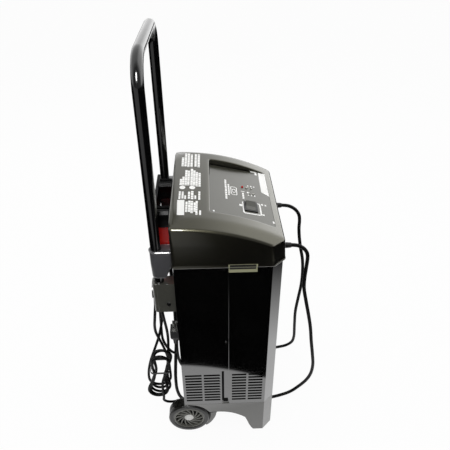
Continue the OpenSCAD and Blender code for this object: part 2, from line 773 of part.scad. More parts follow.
fan_size = 80;
fan_x0 = sink_x + 30;
fan_w = 25;
fan_y = -2;
fan_z = deck_z + deck_t + fan_size / 2;
module fan_frame() {
    color("#1a1a1a") placed() {
        difference() {
            block([fan_x0, fan_y - fan_size / 2, fan_z - fan_size / 2],
                  [fan_x0 + fan_w, fan_y + fan_size / 2, fan_z + fan_size / 2]);
            rod_x(fan_size / 2 - 2, fan_x0 - 1, fan_x0 + fan_w + 1, fan_y, fan_z);
        }
        // motor mount, its three struts and the bearing pin
        rod_x(15, fan_x0, fan_x0 + 4, fan_y, fan_z);
        translate([fan_x0, fan_y, fan_z]) for (a = [90, 210, 330]) rotate([a, 0, 0])
            translate([0, -2, 13]) cube([3, 4, fan_size / 2 - 14.2]);
        rod_x(2, fan_x0 + 3, fan_x0 + 16, fan_y, fan_z);
    }
}
module fan_rotor() {
    blades = 7;
    color("#30302e") placed() translate([fan_x0 + 5, fan_y, fan_z]) rotate([0, 90, 0]) {
        difference() {
            cylinder(r = 16, h = 17);
            translate([0, 0, -1]) cylinder(r = 2 + run_gap, h = 13);
        }
        for (i = [0 : blades - 1]) rotate(i * 360 / blades) translate([15.5, 0, 8.5]) rotate([35, 0, 0])
            translate([0, -0.8, -8]) cube([20, 1.6, 16]);
    }
}

// ---------------------------------------------------------------- battery clamps
// A clamp's frame: pivot at the origin, jaws up, grips down, opening in X, thickness in Y.
// The fixed arm is on the +X side and carries the lead, the moving arm is on the -X side.
clamp_y = rear_y + 17.5;
jaw_len = 39;
grip_len = 62;
pivot_z = tab_z - 16;
pin_d = 6;
jaw_in = tab_t / 2 + gap; // inner face of the contacts
contact_t = 18;
lead_at_x = 18;           // the lead's centre in the fixed arm's grip
lug_in = 3.2;
lug_t = (clamp_t / 2 - lug_in - gap) / 2;
lug_out = lug_in + lug_t + gap;
module at_clamp(x) { placed() translate([x, clamp_y, pivot_z]) children(); }

// A flat [x, z] outline given thickness t in Y
module slab(t) { rotate([90, 0, 0]) linear_extrude(t, center = true) children(); }

// Outline of one arm: jaw, waist beside the pivot, and the grip that flares out
module arm_2d() {
    polygon([
        [jaw_in + 2.6, jaw_len - 2], [jaw_in + 7, jaw_len], [jaw_in + 11.5, jaw_len - 6],
        [jaw_in + 12.5, jaw_len - 18], [jaw_in + 9, 9], [10.5, 0], [13, -10], [20, -26], [23.5, -42],
        [24.5, -grip_len + 3], [23, -grip_len], [12.5, -grip_len], [12.2, -40], [8.5, -24], [4.6, -12],
        [4.2, -4], [4.2, 7], [jaw_in + 3.4, 13], [jaw_in + 6, 19], [jaw_in + 6, 29],
        [jaw_in + 2.6, jaw_len - 6]
    ]);
}

module arm_lugs(y0) {
    for (s = [-1, 1]) translate([0, s * (y0 + lug_t / 2), 0]) slab(lug_t) {
        circle(r = 7);
        translate([0, -6]) square([10, 12]);
    }
}

module contact_seat() {
    block([jaw_in + 2, -contact_t / 2 - 0.1, jaw_len - 15], [jaw_in + 5, contact_t / 2 + 0.1, jaw_len - 4]);
}

module fixed_arm() {
    difference() {
        union() {
            slab(clamp_t) arm_2d();
            arm_lugs(lug_out);
        }
        // room for the moving arm's lugs and the spring
        slab(2 * lug_out) circle(r = 8);
        slab(clamp_t + 2) circle(r = pin_d / 2 + fit_gap);
        contact_seat();
        translate([lead_at_x, 0, -grip_len - 1]) cylinder(r = lead_d / 2 + 0.02, h = 11);
    }
}

module moving_arm() {
    mirror([1, 0, 0]) difference() {
        union() {
            slab(clamp_t) arm_2d();
            arm_lugs(lug_in);
        }
        // room for the fixed arm's lugs and the spring
        for (s = [-1, 1]) translate([0, s * (clamp_t / 2 + lug_out - gap / 2) / 2 + s, 0])
            slab(clamp_t / 2 - lug_out + gap / 2 + 2) circle(r = 8);
        slab(2 * lug_in) circle(r = 8);
        slab(clamp_t + 2) circle(r = pin_d / 2 + run_gap);
        contact_seat();
    }
}

// Toothed copper jaw insert
module contact() {
    teeth = 5;
    pitch = 3;
    z1 = jaw_len - 4;
    slab(contact_t) polygon(concat(
        [[jaw_in + 4.9, z1 - teeth * pitch + 4.2], [jaw_in + 4.9, z1 - 0.2]],
        [for (i = [0 : teeth - 1]) let (z = z1 - 0.2 - i * pitch)
            each [[jaw_in + 1.2, z], [jaw_in, z - pitch / 2]]],
        [for (p = [[1.2, 0], [2.1, 0], [2.1, 4.2]]) [jaw_in + p[0], z1 - teeth * pitch + p[1]]]
    ));
}

module clamp_pin() {
    slab(clamp_t - 1) circle(r = pin_d / 2);
}

// Torsion spring round the pin, with its ends behind the two grips
spring_wire = 1.1;
spring_r = 4.4;
spring_turns = 3;
spring_step = 1.45;
module clamp_spring() {
    n = 12;
    last = spring_turns * n + n / 2;
    y0 = -last / n / 2 * spring_step;
    path = concat(
        [[spring_r + 0.3, y0, 5]],
        [for (i = [0 : last]) let (a = 360 * i / n)
            [spring_r * cos(a), y0 + i / n * spring_step, -spring_r * sin(a)]],
        [[-spring_r - 0.3, -y0, 5]]
    );
    tube(path, spring_wire / 2, 6);
}

module red_clamp_fixed_arm() { color("#c01414") at_clamp(red_clamp_x) fixed_arm(); }
module red_clamp_moving_arm() { color("#c01414") at_clamp(red_clamp_x) moving_arm(); }
module black_clamp_fixed_arm() { color("#141414") at_clamp(black_clamp_x) fixed_arm(); }
module black_clamp_moving_arm() { color("#141414") at_clamp(black_clamp_x) moving_arm(); }
module red_clamp_pin() { color("#a8a8a8") at_clamp(red_clamp_x) clamp_pin(); }
module black_clamp_pin() { color("#a8a8a8") at_clamp(black_clamp_x) clamp_pin(); }
module red_clamp_spring() { color("#909090") at_clamp(red_clamp_x) clamp_spring(); }
module black_clamp_spring() { color("#909090") at_clamp(black_clamp_x) clamp_spring(); }
module red_clamp_fixed_contact() { color("#b87333") at_clamp(red_clamp_x) contact(); }
module red_clamp_moving_contact() { color("#b87333") at_clamp(red_clamp_x) mirror([1, 0, 0]) contact(); }
module black_clamp_fixed_contact() { color("#b87333") at_clamp(black_clamp_x) contact(); }
module black_clamp_moving_contact() {
    color("#b87333") at_clamp(black_clamp_x) mirror([1, 0, 0]) contact();
}

// ---------------------------------------------------------------- leads and cord
// Sweeps a round tube along points: each ring is square to the mean of its two neighbours
function unit(v) = v / norm(v);
function tangent(p, i) = unit(p[min(i + 1, len(p) - 1)] - p[max(i - 1, 0)]);
function turned(n, t) = unit(n - (n * t) * t);
function normals(p, i, n) = i >= len(p) ? [] :
    let (m = turned(n, tangent(p, i))) concat([m], normals(p, i + 1, m));
module tube(p, r, sides) {
    n = normals(p, 0, unit(cross(tangent(p, 0), abs(tangent(p, 0)[0]) > 0.8 ? [0, 0, 1] : [1, 0, 0])));
    last = len(p) - 1;
    points = [for (i = [0 : last], k = [0 : sides - 1])
        let (b = cross(tangent(p, i), n[i]), a = 360 * k / sides)
        p[i] + r * (cos(a) * n[i] + sin(a) * b)];
    faces = concat(
        [for (i = [0 : last - 1], k = [0 : sides - 1]) each let (
            a = i * sides + k, b = i * sides + (k + 1) % sides)
            [[a, a + sides, b + sides], [a, b + sides, b]]],
        [[for (k = [0 : sides - 1]) k]],
        [[for (k = [sides - 1 : -1 : 0]) last * sides + k]]
    );
    polyhedron(points, faces);
}

// Points on a smooth curve through p, with n steps between neighbours
function bow(a, b, c, d, t) = 0.5 * (2 * b + (c - a) * t + (2 * a - 5 * b + 4 * c - d) * t * t
    + (3 * b - a - 3 * c + d) * t * t * t);
function smooth(p, n) = concat(
    [for (i = [0 : len(p) - 2], k = [0 : n - 1])
        bow(p[max(i - 1, 0)], p[i], p[i + 1], p[min(i + 2, len(p) - 1)], k / n)],
    [p[len(p) - 1]]);
// A smooth curve between the second point of p and the last but one, with a straight piece at each end
function inner(p) = [for (i = [1 : len(p) - 2]) p[i]];
function straight_ends(p) = concat([p[0]], smooth(inner(p), 2), [p[len(p) - 1]]);
function run_length(p, i = 1) = i >= len(p) ? 0 : norm(p[i] - p[i - 1]) + run_length(p, i + 1);

// Routes of the output leads, [x, y, z]: out at the front, under the cabinet and up to their clamps
lead_end_z = pivot_z - grip_len + 10;
positive_route = concat(
    [[-lead_exit_x, lead_exit_y, lead_exit_z], [-lead_exit_x, lead_exit_y - 10, lead_exit_z]],
    [[-80, -176, 540], [-80, -189, 526], [-80, -194, 503], [-80, -191, 470], [-80, -190, 430],
     [-80, -196, 380], [-80, -206, 335], [-80, -215, 290], [-80, -222, 240], [-79, -230, 190],
     [-76, -236, 145], [-72, -235, 105], [-66, -227, 70], [-60, -211, 37], [-60, -188, 13],
     [-64, -162, 5], [-72, -125, 5], [-76, -60, 5], [-74, 0, 5], [-74, 60, 5], [-76, 92, 8],
     [-79, 114, 26], [-81, 124, 58], [-82, 126, 110], [-80, 122, 180], [-74, 116, 260],
     [-69, 114, 340], [-68, 114, 420], [-70, 115, 485]],
    [[red_clamp_x + lead_at_x, clamp_y, lead_end_z - 24], [red_clamp_x + lead_at_x, clamp_y, lead_end_z]]
);
negative_route = concat(
    [[lead_exit_x, lead_exit_y, lead_exit_z], [lead_exit_x, lead_exit_y - 10, lead_exit_z]],
    [[80, -176, 540], [80, -189, 526], [80, -195, 503], [80, -198, 470], [80, -207, 420],
     [80, -215, 375], [80, -219, 330], [80, -219, 285], [81, -215, 235], [84, -212, 183],
     [90, -215, 122], [98, -219, 70], [106, -216, 38], [111, -203, 16], [111, -183, 6.5],
     [106, -160, 5], [95, -125, 5], [84, -70, 5], [66, 0, 5], [46, 60, 5], [36, 92, 8],
     [30, 114, 26], [28, 125, 58], [28, 128, 110], [28, 122, 190], [28, 116, 280],
     [28, 115, 380], [28, 117, 470]],
    [[black_clamp_x + lead_at_x, clamp_y, lead_end_z - 24],
     [black_clamp_x + lead_at_x, clamp_y, lead_end_z]]
);
positive_path = straight_ends(positive_route);
negative_path = straight_ends(negative_route);
echo(positive_lead_length = run_length(positive_path), negative_lead_length = run_length(negative_path));

module positive_lead() { color("#171717") placed() tube(positive_path, lead_d / 2, 8); }
module negative_lead() { color("#171717") placed() tube(negative_path, lead_d / 2, 8); }

// A strain relief: flange outside the wall, neck through it, and a ribbed taper round the lead
module relief(r_cord, len, r_hole) {
    rotate_extrude() polygon([
        [r_cord, -4], [r_hole - 0.2, -4], [r_hole - 0.2, 0], [r_hole + 2.5, 0], [r_hole + 2.5, 3],
        [r_cord + 3.2, 4], [r_cord + 2.8, 8], [r_cord + 2.1, 9], [r_cord + 2.6, 10], [r_cord + 2.4, 13],
        [r_cord + 1.7, 14], [r_cord + 2.2, 15], [r_cord + 1.2, len], [r_cord, len]
    ]);
}
module lead_strain_reliefs() {
    color("#1b1b1b") placed() for (side = [-1, 1])
        translate([side * lead_exit_x, front_y, lead_exit_z]) rotate([90, 0, 0]) {
            relief(lead_d / 2 + 0.1, relief_len, 8.2);
            translate([0, 0, -4]) cylinder(r = lead_d / 2 + 0.5, h = relief_len + 4);
        }
}

mains_relief_len = 26;
mains_flange_r = 6.2;
module mains_strain_relief() {
    color("#1b1b1b") placed() translate([mains_exit_x, rear_y, mains_exit_z]) rotate([-90, 0, 0]) {
        relief(cord_d / 2 + 0.1, mains_relief_len, mains_flange_r);
        translate([0, 0, -4]) cylinder(r = cord_d / 2 + 0.5, h = mains_relief_len + 4);
    }
}

// Hank: each loop climbs its front run, turns at the head, falls one step further along its back run
// and turns at the foot. The folds turn about X. Centres are [y, z], one for each loop and one for its end.
hank_x = mains_exit_x - 14;
foot_at = [[173, 110], [165, 118], [168, 105], [161, 123], [166, 114]];
foot_r = [21, 24, 20.5, 22, 20];
head_at = [[153, 230], [156, 224], [149, 236], [154, 228]];
head_r = 20;
hank_waist = 9;
run_rings = 7;
fold_rings = 5;
function mix(a, b, s) = a + (b - a) * s;
function hank_mid(k, s) = mix(foot_at[k], head_at[k], s);
function hank_half(k, s) = mix(foot_r[k], head_r, s) - hank_waist * pow(sin(180 * s), 2);
function hank_loop(k) = concat(
    [for (i = [0 : run_rings - 1]) let (s = i / run_rings, m = hank_mid(k, s))
        [hank_x + k * hank_step, m[0] - hank_half(k, s), m[1]]],
    [for (i = [0 : fold_rings - 1]) let (a = 180 * i / fold_rings)
        [hank_x + k * hank_step, head_at[k][0] - head_r * cos(a), head_at[k][1] + head_r * sin(a)]],
    [for (i = [0 : run_rings - 1]) let (s = 1 - i / run_rings, m = hank_mid(k, s))
        [hank_x + (k + i / run_rings) * hank_step, m[0] + hank_half(k, s), m[1]]],
    [for (i = [0 : fold_rings - 1]) let (
        s = i / fold_rings, c = mix(foot_at[k], foot_at[k + 1], s), r = mix(foot_r[k], foot_r[k + 1], s))
        [hank_x + (k + 1) * hank_step, c[0] + r * cos(180 * s), c[1] - r * sin(180 * s)]]
);
hank_start = [hank_x, foot_at[0][0] - foot_r[0], foot_at[0][1]];
hank_end = [hank_x + hank_loops * hank_step, foot_at[hank_loops][0] - foot_r[hank_loops],
    foot_at[hank_loops][1]];
hank_path = concat(
    [hank_start - [0, 0, cord_d]],
    [for (k = [0 : hank_loops - 1]) each hank_loop(k)],
    [hank_end, hank_end + [0, 0, cord_d]]
);

// Least gap between stretches of the hank that lie further than a fold from each other
hank_fine = smooth(hank_path, 4);
hank_gap = min([for (i = [0 : 3 : len(hank_fine) - 1], j = [i + 40 : len(hank_fine) - 1])
    norm(hank_fine[i] - hank_fine[j]) - cord_d]);
echo(hank_gap = hank_gap, hank_length = run_length(hank_path));

// From the strain relief in the base up into the hank
lead_in_start = [mains_exit_x, rear_y + mains_relief_len, mains_exit_z];
lead_in_end = hank_path[0];
lead_in_path = straight_ends([
    lead_in_start, lead_in_start + [0, 6, 0], lead_in_start + [-2, 19, 4], lead_in_start + [-6, 28, 13],
    lead_in_start + [-11, 30, 27], lead_in_end - [0, 0, 8], lead_in_end
]);

// From the hank twice over the hook and on to the plug, [x, y, z]
hook_cord_r = hook_r + cord_d / 2 + 4 * gap;
near_x = hook_x - hook_cord_r;
far_x = hook_x + hook_cord_r;
function over_hook(y) = [for (a = [180, 140, 90, 40, 0])
    [hook_x + hook_cord_r * cos(a), y, hook_z + hook_cord_r * sin(a)]];
free_end = hank_path[len(hank_path) - 1];
free_path = straight_ends(concat(
    [free_end, free_end + [0, 0, 8]],
    [[-94, 144, 165], [-93, 137, 222], [-97, 131, 280], [-110, 133, 335], [near_x, 136, 392]],
    over_hook(138),
    [[far_x, 137, 400], [-76, 142, 320], [-83, 172, 220], [-83, 190, 160], [-83, 193, 122],
     [-83, 188, 107], [-83, 175, 97], [-82, 159, 97], [-81, 146, 107], [-80, 141, 122],
     [-79, 140, 160], [-80, 143, 210], [-92, 154, 263], [-110, 163, 312], [near_x, 160, 372]],
    over_hook(146),
    [[far_x, 147, 395], [-68, 150, 340], [-67, 151, 300], [-68, 151, 262], [-72, 147, 245],
     [-82, 138, 235], [-96, 126, 235], [-106, 117, 245], [-110, 113.5, 262], [-110, 113.5, 284]]
));
echo(free_cord_length = run_length(free_path), lead_in_length = run_length(lead_in_path));
echo(rings = [len(positive_path), len(negative_path), len(hank_path), len(lead_in_path), len(free_path)]);

module mains_cord_hank() { color("#161616") placed() tube(hank_path, cord_d / 2, 6); }
module mains_cord_lead_in() { color("#161616") placed() tube(lead_in_path, cord_d / 2, 8); }
module mains_cord() { color("#161616") placed() tube(free_path, cord_d / 2, 8); }

// Strap round the waist of the hank
tie_z = 196;
tie_box = [[-131.5, 133], [-87.2, 181]];
module tie_2d(t) {
    hull() for (x = [tie_box[0][0] + 8, tie_box[1][0] - 8], y = [tie_box[0][1] + 8, tie_box[1][1] - 8])
        translate([x, y]) circle(r = 8 - t, $fn = 32);
}
module cord_tie() {
    color("#1a1a1a") placed() translate([0, 0, tie_z]) linear_extrude(5) difference() {
        tie_2d(0);
        tie_2d(1.6);
    }
}

// Earthed plug on the end of the cord, blades up
plug_at = free_path[len(free_path) - 1];
plug_len = 34;
module mains_plug() {
    color("#1b1b1b") placed() translate(plug_at) {
        // ribbed sleeve, then the body with its finger waist and flat face
        rotate_extrude() polygon([
            [0, 0], [5, 0], [5.4, 4], [4.6, 5], [5.6, 6], [6, 10], [5, 11], [6.2, 12], [6.8, 17], [0, 17]
        ]);
        hull() {
            translate([0, 0, 16]) cylinder(r = 7, h = 1, $fn = 32);
            translate([-12, -9, 26]) cube([24, 18, 4]);
        }
        translate([-13, -10, 30]) cube([26, 20, plug_len - 14]);
    }
}
module plug_blades() {
    z = 16 + plug_len;
    color("#c8b060") placed() translate(plug_at + [0, 0, z]) {
        for (x = [-6.35, 6.35]) block([x - 0.8, -1.2, 0], [x + 0.8, 5.1, 17]);
        translate([0, -5.5, 0]) cylinder(r = 2.4, h = 20);
    }
}

switch_axis = [0, cos(bed_tilt), sin(bed_tilt)];
switch_pivot = [switch_c[0], bed_back_y - y_mid, bed_back_z] + switch_c[1] * switch_axis
    + (overlay_t + rocker_z) * [0, -sin(bed_tilt), cos(bed_tilt)];
echo(y_mid = y_mid, switch_pivot = switch_pivot, switch_axis = switch_axis);
echo(fan_axis = [fan_y - y_mid, fan_z], clamp_pivot = [clamp_y - y_mid, pivot_z]);

base_moulding();
wheel_axle();
left_wheel_tyre();
left_wheel_hub();
left_wheel_cap();
right_wheel_tyre();
right_wheel_hub();
right_wheel_cap();
rear_shell();
front_shell();
console_cover();
control_panel();
switch_bezel();
switch_rocker();
red_indicator_lens();
clear_indicator_lenses();
circuit_board();
handle_tube();
handle_end_plugs();
left_handle_bracket();
right_handle_bracket();
cord_hook();
handle_screws();
shell_screws();
console_screws();
chassis_plate();
transformer_core();
primary_winding();
secondary_winding();
transformer_strap();
rectifier_heat_sink();
rectifier_diodes();
thermal_breaker();
fan_frame();
fan_rotor();
red_clamp_fixed_arm();
red_clamp_moving_arm();
red_clamp_pin();
red_clamp_spring();
red_clamp_fixed_contact();
red_clamp_moving_contact();
black_clamp_fixed_arm();
black_clamp_moving_arm();
black_clamp_pin();
black_clamp_spring();
black_clamp_fixed_contact();
black_clamp_moving_contact();
positive_lead();
negative_lead();
lead_strain_reliefs();
mains_strain_relief();
mains_cord_lead_in();
mains_cord_hank();
mains_cord();
cord_tie();
mains_plug();
plug_blades();
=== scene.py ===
"""Wheeled battery charger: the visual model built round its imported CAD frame.

Sizes in the classes are millimetres in the maker's frame, whose Y origin is the middle of the
side panels; place() turns them into the row frame in metres.
"""
import json
import logging
import math
from collections.abc import Callable
from dataclasses import dataclass, field
from enum import Enum
from functools import partial

import bmesh
import bpy
import numpy as np
from mathutils import Matrix

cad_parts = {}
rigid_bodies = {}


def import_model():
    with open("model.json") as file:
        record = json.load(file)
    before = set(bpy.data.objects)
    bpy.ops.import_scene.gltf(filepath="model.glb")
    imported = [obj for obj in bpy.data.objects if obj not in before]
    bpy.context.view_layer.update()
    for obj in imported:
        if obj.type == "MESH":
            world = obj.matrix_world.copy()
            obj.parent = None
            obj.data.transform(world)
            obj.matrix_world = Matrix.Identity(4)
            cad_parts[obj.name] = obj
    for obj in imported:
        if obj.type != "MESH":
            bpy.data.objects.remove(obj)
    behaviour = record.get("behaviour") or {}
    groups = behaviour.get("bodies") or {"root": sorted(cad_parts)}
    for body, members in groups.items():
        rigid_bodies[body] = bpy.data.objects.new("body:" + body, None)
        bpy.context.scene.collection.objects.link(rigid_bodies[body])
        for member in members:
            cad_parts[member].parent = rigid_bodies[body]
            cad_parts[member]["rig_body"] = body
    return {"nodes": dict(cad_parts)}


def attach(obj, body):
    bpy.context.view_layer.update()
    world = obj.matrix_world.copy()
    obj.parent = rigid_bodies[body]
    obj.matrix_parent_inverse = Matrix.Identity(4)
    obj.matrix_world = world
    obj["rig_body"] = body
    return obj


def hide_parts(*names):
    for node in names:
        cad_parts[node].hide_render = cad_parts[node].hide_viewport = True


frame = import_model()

log = logging.getLogger("charger")
logging.basicConfig(level=logging.INFO, format="%(message)s")

Array = np.ndarray
Piece = bpy.types.Object
Node = bpy.types.Node
Vec = tuple[float, float, float]
Pair = tuple[float, float]

MM = 0.001
Y_MID = 2.5  # the row frame's origin lies this far behind the maker's
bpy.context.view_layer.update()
BODY = "charger"
WHITE = (1.0, 1.0, 1.0, 1.0)
SIDES = {"left": -1, "right": 1}


# ------------------------------------------------------------------ numbers and meshes
def place(points: Array) -> Array:
    """Millimetres in the maker's frame to metres in the row frame."""
    return (np.asarray(points, float) - [0.0, Y_MID, 0.0]) * MM


def linear(hex_tone: str) -> tuple[float, float, float, float]:
    """sRGB hex to linear RGBA: c/12.92 below 0.04045, else ((c + 0.055)/1.055) to the power 2.4."""
    c = np.array([int(hex_tone[i:i + 2], 16) for i in (1, 3, 5)]) / 255
    c = np.where(c <= 0.04045, c / 12.92, ((c + 0.055) / 1.055) ** 2.4)
    return (float(c[0]), float(c[1]), float(c[2]), 1.0)


def link(name: str, data: bpy.types.ID, axes: Array | None = None) -> Piece:
    """Puts an object into the scene, with three axes and a place as the columns of its matrix."""
    made = bpy.data.objects.new(name, data)
    if axes is not None:
        made.matrix_world = Matrix([*axes.tolist(), [0.0, 0.0, 0.0, 1.0]])
    bpy.context.scene.collection.objects.link(made)
    return made


def shell(name: str, points: Array, faces: list[list[int]], crease: float = 32.0,
          outward: bool = True) -> Piece:
    """Makes a mesh piece from points in the maker's frame.

    Args:
        name: The piece's name.
        points: n x 3 millimetres.
        faces: Vertex loops.
        crease: Edges that turn by more than this many degrees stay sharp.
        outward: Recalculate the normals, for a closed piece.
    Returns:
        The linked object, at the origin.
    """
    mesh = bpy.data.meshes.new(name)
    mesh.from_pydata(place(points).tolist(), [], faces)
    if outward:
        work = bmesh.new()
        work.from_mesh(mesh)
        bmesh.ops.recalc_face_normals(work, faces=work.faces)
        work.to_mesh(mesh)
        work.free()
    mesh.shade_smooth()
    mesh.set_sharp_from_angle(angle=math.radians(crease))
    return link(name, mesh)


def skin_faces(rows: int, cols: int, loop: bool = False, caps: bool = True,
               start: int = 0) -> list[list[int]]:
    """Quads between rows of a stack of closed rings, with flat caps unless the stack is a loop."""
    i = np.arange(rows if loop else rows - 1)[:, None]
    k = np.arange(cols)[None, :]
    j, m = (i + 1) % rows, (k + 1) % cols
    quads = np.stack([i * cols + k, i * cols + m, j * cols + m, j * cols + k], -1) + start
    faces = quads.reshape(-1, 4).tolist()
    if caps and not loop:
        first = list(range(start, start + cols))
        faces += [first[::-1], [v + (rows - 1) * cols for v in first]]
    return faces


def loft(name: str, rings: Array, loop: bool = False, caps: bool = True,
         crease: float = 32.0, outward: bool = True) -> Piece:
    """Skins a stack of closed rings, rows x columns x 3, into one piece."""
    rows, cols = rings.shape[:2]
    faces = skin_faces(rows, cols, loop, caps)
    return shell(name, rings.reshape(-1, 3), faces, crease, outward)


def smooth(route: Array, steps: int) -> Array:
    """A curve through the route's points, with steps pieces to each stretch.

    Between neighbours b and c it is the cubic with the tangents of a centripetal spline: with u, v, w
    the square roots of the three distances a to b, b to c and c to d, the tangent at b is
    v ((b-a)/u - (c-a)/(u+v) + (c-b)/v), and the one at c is v ((c-b)/v - (d-b)/(v+w) + (d-c)/w).
    """
    p = np.vstack([2 * route[:1] - route[1:2], route, 2 * route[-1:] - route[-2:-1]])
    root = np.linalg.norm(np.diff(p, axis=0), axis=1)[:, None] ** 0.5
    a, b, c, d = (p[i:len(p) - 3 + i] for i in range(4))
    u, v, w = (root[i:len(root) - 2 + i] for i in range(3))
    m = v * ((b - a) / u - (c - a) / (u + v) + (c - b) / v)
    n = v * ((c - b) / v - (d - b) / (v + w) + (d - c) / w)
    t = (np.arange(steps) / steps)[None, :, None]
    b, c, m, n = (q[:, None, :] for q in (b, c, m, n))
    places = (2 * t**3 - 3 * t**2 + 1) * b + (3 * t**2 - 2 * t**3) * c
    slopes = (t**3 - 2 * t**2 + t) * m + (t**3 - t**2) * n
    return np.vstack([(places + slopes).reshape(-1, 3), route[-1:]])


def arc(middle: Pair, radius: float, start: float, end: float, count: int) -> Array:
    """Flat points middle + r (cos a, sin a), with a from start to end in degrees."""
    a = np.radians(np.linspace(start, end, count + 1))
    return np.array(middle) + radius * np.column_stack([np.cos(a), np.sin(a)])


def run_length(path: Array) -> float:
    """Length of a line through points."""
    return float(np.linalg.norm(np.diff(path, axis=0), axis=1).sum())


def rails(path: Array) -> tuple[Array, Array]:
    """Two unit vectors square to a path at each point, carried along it without twist."""
    t = np.gradient(path, axis=0)
    t /= np.linalg.norm(t, axis=1)[:, None]
    n = np.cross(t[0], [0, 0, 1.0] if abs(t[0][2]) < 0.8 else [1.0, 0, 0])
    across = []
    for step in t:
        n = n - (n @ step) * step
        n = n / np.linalg.norm(n)
        across.append(n)
    u = np.array(across)
    return u, np.cross(t, u)


def tube_rings(path: Array, radius: Array | float, sides: int) -> Array:
    """Rings p + r (u cos a + v sin a), a from 0 to a full turn, square to the path."""
    u, v = rails(path)
    a = np.arange(sides) * 2 * math.pi / sides
    r = np.broadcast_to(np.asarray(radius, float), (len(path),))[:, None, None]
    return path[:, None, :] + r * (u[:, None] * np.cos(a)[:, None] + v[:, None] * np.sin(a)[:, None])


def rounded(corners: Array, radius: Array | float, steps: int, edge: int) -> Array:
    """Outline of a polygon whose corners are rounded by a Bezier arc between the two points that
    lie r tan(turn/2) from the corner, in steps, with edge equal steps along each straight side."""
    c = np.asarray(corners, float)
    back, ahead = np.roll(c, 1, 0) - c, np.roll(c, -1, 0) - c
    back /= np.linalg.norm(back, axis=1)[:, None]
    ahead /= np.linalg.norm(ahead, axis=1)[:, None]
    turn = math.pi - np.arccos(np.clip((back * ahead).sum(1), -1, 1))
    reach = (np.broadcast_to(radius, (len(c),)) * np.tan(turn / 2))[:, None, None]
    t = np.linspace(0, 1, steps + 1)[None, :, None]
    p0, p2 = c[:, None] + back[:, None] * reach, c[:, None] + ahead[:, None] * reach
    bends = (1 - t) ** 2 * p0 + 2 * t * (1 - t) * c[:, None] + t**2 * p2
    s = (np.arange(1, edge) / edge)[None, :, None]
    sides = p2 * (1 - s) + np.roll(p0, -1, 0) * s
    return np.concatenate([bends, sides], 1).reshape(-1, 2)


def inward(ring: Array) -> Array:
    """Unit normals of a counterclockwise outline, pointing into it."""
    t = np.roll(ring, -1, 0) - np.roll(ring, 1, 0)
    n = np.stack([-t[:, 1], t[:, 0]], 1)
    return n / np.linalg.norm(n, axis=1)[:, None]


def lift(ring: Array, z: Array | float) -> Array:
    """A flat outline given heights."""
    return np.column_stack([ring, np.broadcast_to(z, (len(ring),))])


def box(x0: float, y0: float, x1: float, y1: float) -> Array:
    """The corners of a rectangle, counterclockwise from the far one."""
    return np.array([[x1, y1], [x0, y1], [x0, y0], [x1, y0]], float)


def stations(ring: Array, places: list[Pair], axis: int) -> Array:
    """Copies of a flat outline along an axis (0 X, 1 Y, 2 Z), each at its place and drawn in."""
    m = inward(ring)
    return np.stack([np.insert(ring + m * inset, axis, at, axis=1) for at, inset in places])


def pile(name: str, stacks: list[Array], crease: float = 32.0) -> Piece:
    """One piece from several closed stacks of rings."""
    faces, start = [], 0
    for rings in stacks:
        faces += skin_faces(*rings.shape[:2], start=start)
        start += rings.shape[0] * rings.shape[1]
    return shell(name, np.vstack([rings.reshape(-1, 3) for rings in stacks]), faces, crease)


def merged_copy(node: str, bevel: float = 0.0, cuts: int = 3) -> Piece:
    """A copy of a CAD node with its doubles merged and flat areas joined, with rolled edges.

    Args:
        node: The CAD node that the piece stands for.
        bevel: Width of the rolled edge in millimetres, or 0 for none.
        cuts: Segments of the roll; 1 makes a plain chamfer.
    Returns:
        The new piece, riding on the node's own body.
    """
    source = frame["nodes"][node]
    piece = link(node + "_form", source.data.copy())
    work = bmesh.new()
    work.from_mesh(piece.data)
    bmesh.ops.remove_doubles(work, verts=work.verts, dist=2e-6)
    bmesh.ops.dissolve_limit(work, angle_limit=math.radians(0.6), verts=work.verts, edges=work.edges)
    work.to_mesh(piece.data)
    work.free()
    crease = math.radians(30.0)
    piece.data.shade_smooth()
    piece.data.set_sharp_from_angle(angle=crease)
    if bevel:
        roll = piece.modifiers.new("rolled_edge", "BEVEL")
        roll.width, roll.segments, roll.limit_method = bevel * MM, cuts, "ANGLE"
        roll.angle_limit, roll.use_clamp_overlap, roll.harden_normals = crease, True, False
    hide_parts(node)
    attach(piece, source["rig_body"])
    return piece


# ------------------------------------------------------------------ finishes
class Grain(Enum):
    """How a surface was made, which decides its relief."""

    SPARK = "spark-eroded mould grain"
    PEEL = "orange peel of baked paint"
    BRUSHED = "fine parallel lines"
    SMOOTH = "polished mould"
    SHEETS = "stacked sheets"


def add(tree: bpy.types.NodeTree, kind: str, settings: dict | None = None,
        links: dict | None = None) -> Node:
    """Adds a shader node.

    Args:
        tree: The material's or world's node tree.
        kind: Type name without the ShaderNode prefix.
        settings: Attribute names, or input names or numbers, with their values.
        links: Input names or numbers with what feeds them: an output socket, or a node for its first.
    Returns:
        The node.
    """
    made = tree.nodes.new("ShaderNode" + kind)
    for key, value in (settings or {}).items():
        if isinstance(key, str) and hasattr(made, key):
            setattr(made, key, value)
        else:
            made.inputs[key].default_value = value
    for key, source in (links or {}).items():
        tree.links.new(source.outputs[0] if isinstance(source, Node) else source, made.inputs[key])
    return made


def emptied(owner: bpy.types.Material | bpy.types.World) -> Callable[..., Node]:
    """Empties the node tree of a material or world, and gives what adds to it."""
    owner.use_nodes = True
    owner.node_tree.nodes.clear()
    return partial(add, owner.node_tree)


def span(x0: float, x1: float, y0: float = 0.0, y1: float = 1.0) -> dict[str, float]:
    """Settings that map x0 to y0 and x1 to y1."""
    return {"From Min": x0, "From Max": x1, "To Min": y0, "To Max": y1}


